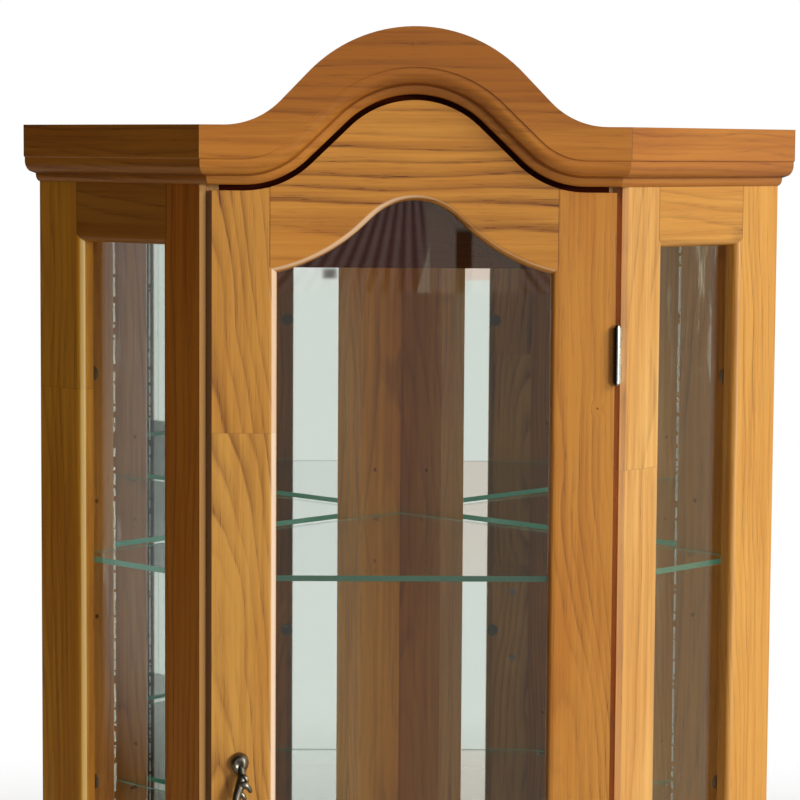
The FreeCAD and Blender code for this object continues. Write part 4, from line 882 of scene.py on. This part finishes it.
class CABINET_OT_shelves(bpy.types.Operator):
    """Gives the loose shelves their clear faces and green edges"""

    bl_idname = "cabinet.shelves"
    bl_label = "Glass shelves"

    def execute(self, context):
        glass = shelf_glass("Shelf glass", context.scene.cabinet_glass)
        finish_nodes(glass, "glass_shelf_upper", "glass_shelf_middle", "glass_shelf_lower")
        return {"FINISHED"}


class CABINET_OT_mirrors(bpy.types.Operator):
    """Silvers the two mirrors"""

    bl_idname = "cabinet.mirrors"
    bl_label = "Mirrors"

    def execute(self, context):
        for node, sign in (("mirror_left", 1), ("mirror_right", -1)):
            finish_nodes(mirror_finish(context.scene.cabinet_glass, node, sign), node)
        return {"FINISHED"}


class CABINET_OT_fittings(bpy.types.Operator):
    """Gives hinges, screws, pins, clips, catch and glides their metals and plastics"""

    bl_idname = "cabinet.fittings"
    bl_label = "Fittings"

    def execute(self, context):
        for table, finish in ((METALS, metal_finish), (PLASTICS, plastic_finish)):
            for label, (names, *look) in table.items():
                finish_nodes(finish(label, *look), *names)
        return {"FINISHED"}


class CABINET_OT_pull(bpy.types.Operator):
    """Casts the bow pull of the door, with a lobed foot and scrolls at each end"""

    bl_idname = "cabinet.pull"
    bl_label = "Door pull"

    def execute(self, context):
        pull = context.scene.cabinet_pull
        bronze = metal_finish("Antique bronze", pull.bronze, *BRONZE_LOOK)
        low, high = (np.array(corner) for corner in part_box("door_handle"))
        centre = np.array([(low[0] + high[0]) / 2, high[1], (low[2] + high[2]) / 2])
        reach = high[1] - low[1]
        half = (high[2] - low[2]) / 2 - pull.lobe
        grids = [pull_bow(centre, reach, half, pull.bow)]
        for end in (1, -1):
            grids.append(pull_foot(centre, end, half, pull.lobe, pull.dome))
            grids += [pull_leaf(centre, end, leaf) for leaf in PULL_LEAVES]
        casting = join_grids("pull_casting", grids, bronze, "door")
        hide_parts("door_handle")
        return {"FINISHED"}


class CABINET_OT_stage(bpy.types.Operator):
    """Sets the floor, the lamps, the surroundings and the camera"""

    bl_idname = "cabinet.stage"
    bl_label = "Stage"

    def execute(self, context):
        scene = context.scene
        stage = scene.cabinet_stage
        make_camera(scene)
        make_lamp(scene, "Key lamp", stage.key, KEY_BREADTH, stage.key_azimuth, stage.key_height)
        make_lamp(scene, "Fill lamp", stage.fill, FILL_BREADTH, stage.fill_azimuth, stage.fill_height)
        make_floor(scene, stage)
        make_surroundings(scene, stage)
        scene.view_settings.view_transform = "Standard"
        return {"FINISHED"}


# -------- stage

# Where the camera stands in metres, how it is turned in radians, and its lens and sensor in millimetres.
CAMERA_PLACE = (-0.08003, -3.13254, 1.72431)
CAMERA_YAW, CAMERA_PITCH, CAMERA_ROLL = 0.0233, 0.0894, 0.0066
CAMERA_LENS, CAMERA_SENSOR = 125.87, 36.0

# How wide the two lamps look from the cabinet, in degrees, and how far below it the floor lies, in metres.
KEY_BREADTH, FILL_BREADTH = 26, 12
FLOOR_DROP = 0.0005

# The room in front, as a pane shows it, is laid out by a ray's direction: aside = x / -y, height = z / -y.
EYE_LINE = -0.051
PLEATS_FROM, PLEATS_MEET, PLEATS_FAN = 0.0260, 0.012, 70.0
PLEAT_DEPTH, PLEAT_MEAN = 0.36, 0.70
GREY_SPAN = (0.0322, 0.0662)
PILLAR_SPAN, PILLAR_TOP = (0.0430, 0.0487), (-0.030, -0.027)
PILLAR_COLOUR = (0.12, 0.12, 0.06, 1.0)
WEDGE_TOP, WEDGE_FROM, WEDGE_SLOPE, WEDGE_END = -0.0322, 0.0337, -0.27, (0.0333, 0.0338)
WEDGE_COLOUR = (2.1, 1.9, 1.5, 1.0)

# The room in front by way of both mirrors: the sill, what stands on it, and where the white pane starts.
SILL = -0.0465
BLOCK_SPAN, BLOCK_TOP = (-0.0004, 0.0046), -0.0426
BLOCK_COLOUR = (0.15, 0.13, 0.12, 1.0)
WHITE_FROM = -0.030

# Clear reflections at the sides: how high the level band reaches, in z of a ray's direction, the slope y / x
# of the standing one, the colour of both, and how bright such reflections find the window.
BAND_SPAN, STANDING_SPAN = (-0.22, 0.26), (0.1343, 0.1363)
BAND_COLOUR = (0.8, 0.9, 0.88, 1.0)
CLEAR_WINDOW = 0.8


def make_camera(scene):
    """A long lens at eye level, three metres in front."""
    ahead = Vector((math.sin(CAMERA_YAW) * math.cos(CAMERA_PITCH),
                    math.cos(CAMERA_YAW) * math.cos(CAMERA_PITCH), -math.sin(CAMERA_PITCH)))
    level = Vector((math.cos(CAMERA_YAW), -math.sin(CAMERA_YAW), 0.0))
    upward = level.cross(ahead)
    right = math.cos(CAMERA_ROLL) * level + math.sin(CAMERA_ROLL) * upward
    up = math.cos(CAMERA_ROLL) * upward - math.sin(CAMERA_ROLL) * level
    data = bpy.data.cameras.new("Camera")
    data.lens, data.sensor_width = CAMERA_LENS, CAMERA_SENSOR
    camera = bpy.data.objects.new("Camera", data)
    axes = Matrix((right, up, -ahead)).transposed().to_4x4()
    camera.matrix_world = Matrix.Translation(CAMERA_PLACE) @ axes
    scene.collection.objects.link(camera)
    scene.camera = camera


def make_lamp(scene, name, energy, breadth, azimuth, height):
    """A soft lamp far away in front, at an angle to the right and another above the horizon."""
    data = bpy.data.lights.new(name, "SUN")
    data.energy = energy
    data.angle = math.radians(breadth)
    lamp = bpy.data.objects.new(name, data)
    toward = Vector((math.sin(azimuth) * math.cos(height), -math.cos(azimuth) * math.cos(height),
                     math.sin(height)))
    lamp.rotation_euler = toward.to_track_quat("Z", "Y").to_euler()
    scene.collection.objects.link(lamp)


def make_floor(scene, stage, radius=5.0, rings=24, sides=96):
    """A round floor, (r cos a, r sin a, -drop), that fades out at its rim."""
    span = np.linspace(0, radius, rings + 1)[1:]
    angle = np.linspace(0, 2 * math.pi, sides, endpoint=False)
    grid = np.stack([span[:, None] * np.cos(angle), span[:, None] * np.sin(angle),
                     np.zeros((rings, sides))], -1)
    vertices = np.concatenate([grid.reshape(-1, 3), np.zeros((1, 3))])
    bands = band_faces(rings, sides)[:, [0, 3, 2, 1]]
    mesh = bpy.data.meshes.new("Floor")
    mesh.from_pydata(vertices.tolist(), [], bands.tolist() + fan_faces(rings * sides, 0, sides).tolist())
    material, tree, shader = surface("Floor paint", stage.floor, 0.7)
    far = vector_calc(tree, "LENGTH", room_place(tree))
    feed(tree, shader, Alpha=spread(tree, far, radius * 0.45, radius * 0.98, 1.0, 0.0))
    mesh.materials.append(material)
    floor = bpy.data.objects.new("Floor", mesh)
    floor.location.z = -FLOOR_DROP
    scene.collection.objects.link(floor)


def front_room(tree, stage, aside, height):
    """What a pane shows of the room in front: pale below eye level, and a pleated curtain above.

    The pleats are cos(k (aside - a) / (b - height)), so they fan out downwards. On the curtain stand a
    greyer stretch, a dark pillar and a pale wedge that widens downwards. All of it dims to the left.
    """
    drop = calc(tree, "-", PLEATS_MEET, height)
    fan = calc(tree, "/", calc(tree, "-", aside, PLEATS_FROM), drop)
    fold = calc(tree, "COSINE", calc(tree, "*", fan, PLEATS_FAN))
    fold = calc(tree, "*+", fold, PLEAT_DEPTH, PLEAT_MEAN)
    curtain = mix(tree, fold, BLACK, rgba(stage.curtain))
    curtain = mix(tree, within(tree, aside, *GREY_SPAN, 0.0015), curtain, rgba(stage.grey))
    pillar = calc(tree, "*", within(tree, aside, *PILLAR_SPAN, 0.0006),
                  spread(tree, height, *PILLAR_TOP, 1.0, 0.0))
    curtain = mix(tree, pillar, curtain, PILLAR_COLOUR)
    below = calc(tree, "-", WEDGE_TOP, height)
    edge = calc(tree, "*+", below, WEDGE_SLOPE, WEDGE_FROM)
    wedge = calc(tree, "*", spread(tree, calc(tree, "-", aside, edge), 0.0, 0.0008),
                 spread(tree, aside, *WEDGE_END, 1.0, 0.0))
    wedge = calc(tree, "*", wedge, spread(tree, below, 0.0, 0.001))
    curtain = mix(tree, wedge, curtain, WEDGE_COLOUR)
    upper = spread(tree, height, EYE_LINE - 0.001, EYE_LINE + 0.001)
    room = mix(tree, upper, rgba(stage.haze), curtain)
    return mix(tree, spread(tree, aside, -0.45, -0.05, 0.08, 1.0), BLACK, room)


def returned_room(tree, stage, aside, height):
    """What the two mirrors together show of the room in front: pale, and above a sill two window panes, a
    rosy one and a white one, with something dark that stands on the sill before the white one."""
    panes = mix(tree, spread(tree, aside, WHITE_FROM - 0.002, WHITE_FROM + 0.002), rgba(stage.curtain),
                WHITE)
    block = calc(tree, "*", within(tree, aside, *BLOCK_SPAN, 0.0004),
                 within(tree, height, SILL + 0.0003, BLOCK_TOP, 0.0004))
    panes = mix(tree, block, panes, BLOCK_COLOUR)
    return mix(tree, spread(tree, height, SILL - 0.0003, SILL + 0.0003), rgba(stage.pale), panes)


def side_rooms(tree, stage, way, clear):
    """What gloss shows of the sides of the room: a bright window at the right, full from x = 0.85, and gloom
    elsewhere. Clear reflections also find a level pale band at the left and a standing one at the right."""
    window = mix(tree, clear, rgba(stage.window), rgba(stage.window, CLEAR_WINDOW))
    sides = mix(tree, spread(tree, way[0], 0.35, 0.85), rgba((stage.gloom,) * 3), window)
    level = calc(tree, "*", within(tree, way[2], *BAND_SPAN, 0.02),
                 spread(tree, way[0], -0.97, -0.985))
    slope = calc(tree, "/", way[1], calc(tree, "MAXIMUM", way[0], 0.1))
    standing = within(tree, slope, *STANDING_SPAN, 0.0004)
    band = calc(tree, "*+", standing, 0.6, level)
    return mix(tree, calc(tree, "*", band, clear), sides, BAND_COLOUR)


def room_picture(tree, stage, way, rays):
    """What gloss shows of the room in the direction (x, y, z): the front of it where y < -0.93, which a path
    that has met both mirrors finds changed, and its sides where y > -0.8."""
    ahead = calc(tree, "MAXIMUM", calc(tree, "*", way[1], -1.0), 0.1)
    height = calc(tree, "/", way[2], ahead)
    aside = calc(tree, "/", way[0], ahead)
    twice = calc(tree, "GREATER_THAN", rays["Glossy Depth"], 1.5)
    room = mix(tree, twice, front_room(tree, stage, aside, height),
               returned_room(tree, stage, aside, height))
    front = spread(tree, way[1], -0.93, -0.80, 1.0, 0.0)
    return mix(tree, front, side_rooms(tree, stage, way, rays["Is Singular Ray"]), room)


def make_surroundings(scene, stage):
    """White to the eye and through clear glass, dim to matt surfaces, and a plain room to gloss."""
    world = bpy.data.worlds.new("Surroundings")
    scene.world = world
    world.use_nodes = True
    tree = world.node_tree
    rays = add(tree, "LightPath").outputs
    way = add(tree, "SeparateXYZ", add(tree, "TexCoord").outputs["Generated"]).outputs
    mirrored = calc(tree, "GREATER_THAN", rays["Glossy Depth"], 0.5)
    bent = mix(tree, mirrored, WHITE, room_picture(tree, stage, way, rays))
    uneven = spread(tree, way[0], -0.8, 0.9, 1.0 - stage.lean, 1.0 + stage.lean, smooth=False)
    matt = mix(tree, uneven, BLACK, rgba(stage.sky))
    glossy = calc(tree, "MAXIMUM", rays["Is Glossy Ray"], rays["Is Transmission Ray"])
    shown = mix(tree, glossy, matt, bent)
    shown = mix(tree, rays["Is Camera Ray"], shown, WHITE)
    feed(tree, tree.nodes["Background"], Color=shown, Strength=1.0)


# -------- panel and run


class CABINET_PT_sidebar(bpy.types.Panel):
    """Lists the cabinet's settings and the pieces to make"""

    bl_idname = "CABINET_PT_sidebar"
    bl_label = "Corner curio cabinet"
    bl_space_type = "VIEW_3D"
    bl_region_type = "UI"
    bl_category = "Cabinet"

    def draw(self, context):
        layout = self.layout
        for group, held in SETTINGS.items():
            box = layout.box()
            for name in group.__annotations__:
                box.prop(getattr(context.scene, held), name)
        for operator in OPERATORS:
            layout.operator(operator.bl_idname)


SETTINGS = {CabinetWood: "cabinet_wood", CabinetGlass: "cabinet_glass", CabinetPull: "cabinet_pull",
            CabinetStage: "cabinet_stage"}
OPERATORS = (CABINET_OT_boards, CABINET_OT_panes, CABINET_OT_shelves, CABINET_OT_mirrors,
             CABINET_OT_fittings, CABINET_OT_pull, CABINET_OT_stage)


def register():
    for group, name in SETTINGS.items():
        bpy.utils.register_class(group)
        setattr(bpy.types.Scene, name, bpy.props.PointerProperty(type=group))
    for operator in OPERATORS:
        bpy.utils.register_class(operator)
    bpy.utils.register_class(CABINET_PT_sidebar)


def unregister():
    bpy.utils.unregister_class(CABINET_PT_sidebar)
    for operator in reversed(OPERATORS):
        bpy.utils.unregister_class(operator)
    for group, name in reversed(SETTINGS.items()):
        delattr(bpy.types.Scene, name)
        bpy.utils.unregister_class(group)


def main():
    register()
    for operator in OPERATORS:
        group, call = operator.bl_idname.split(".")
        getattr(getattr(bpy.ops, group), call)()


if __name__ == "__main__":
    main()
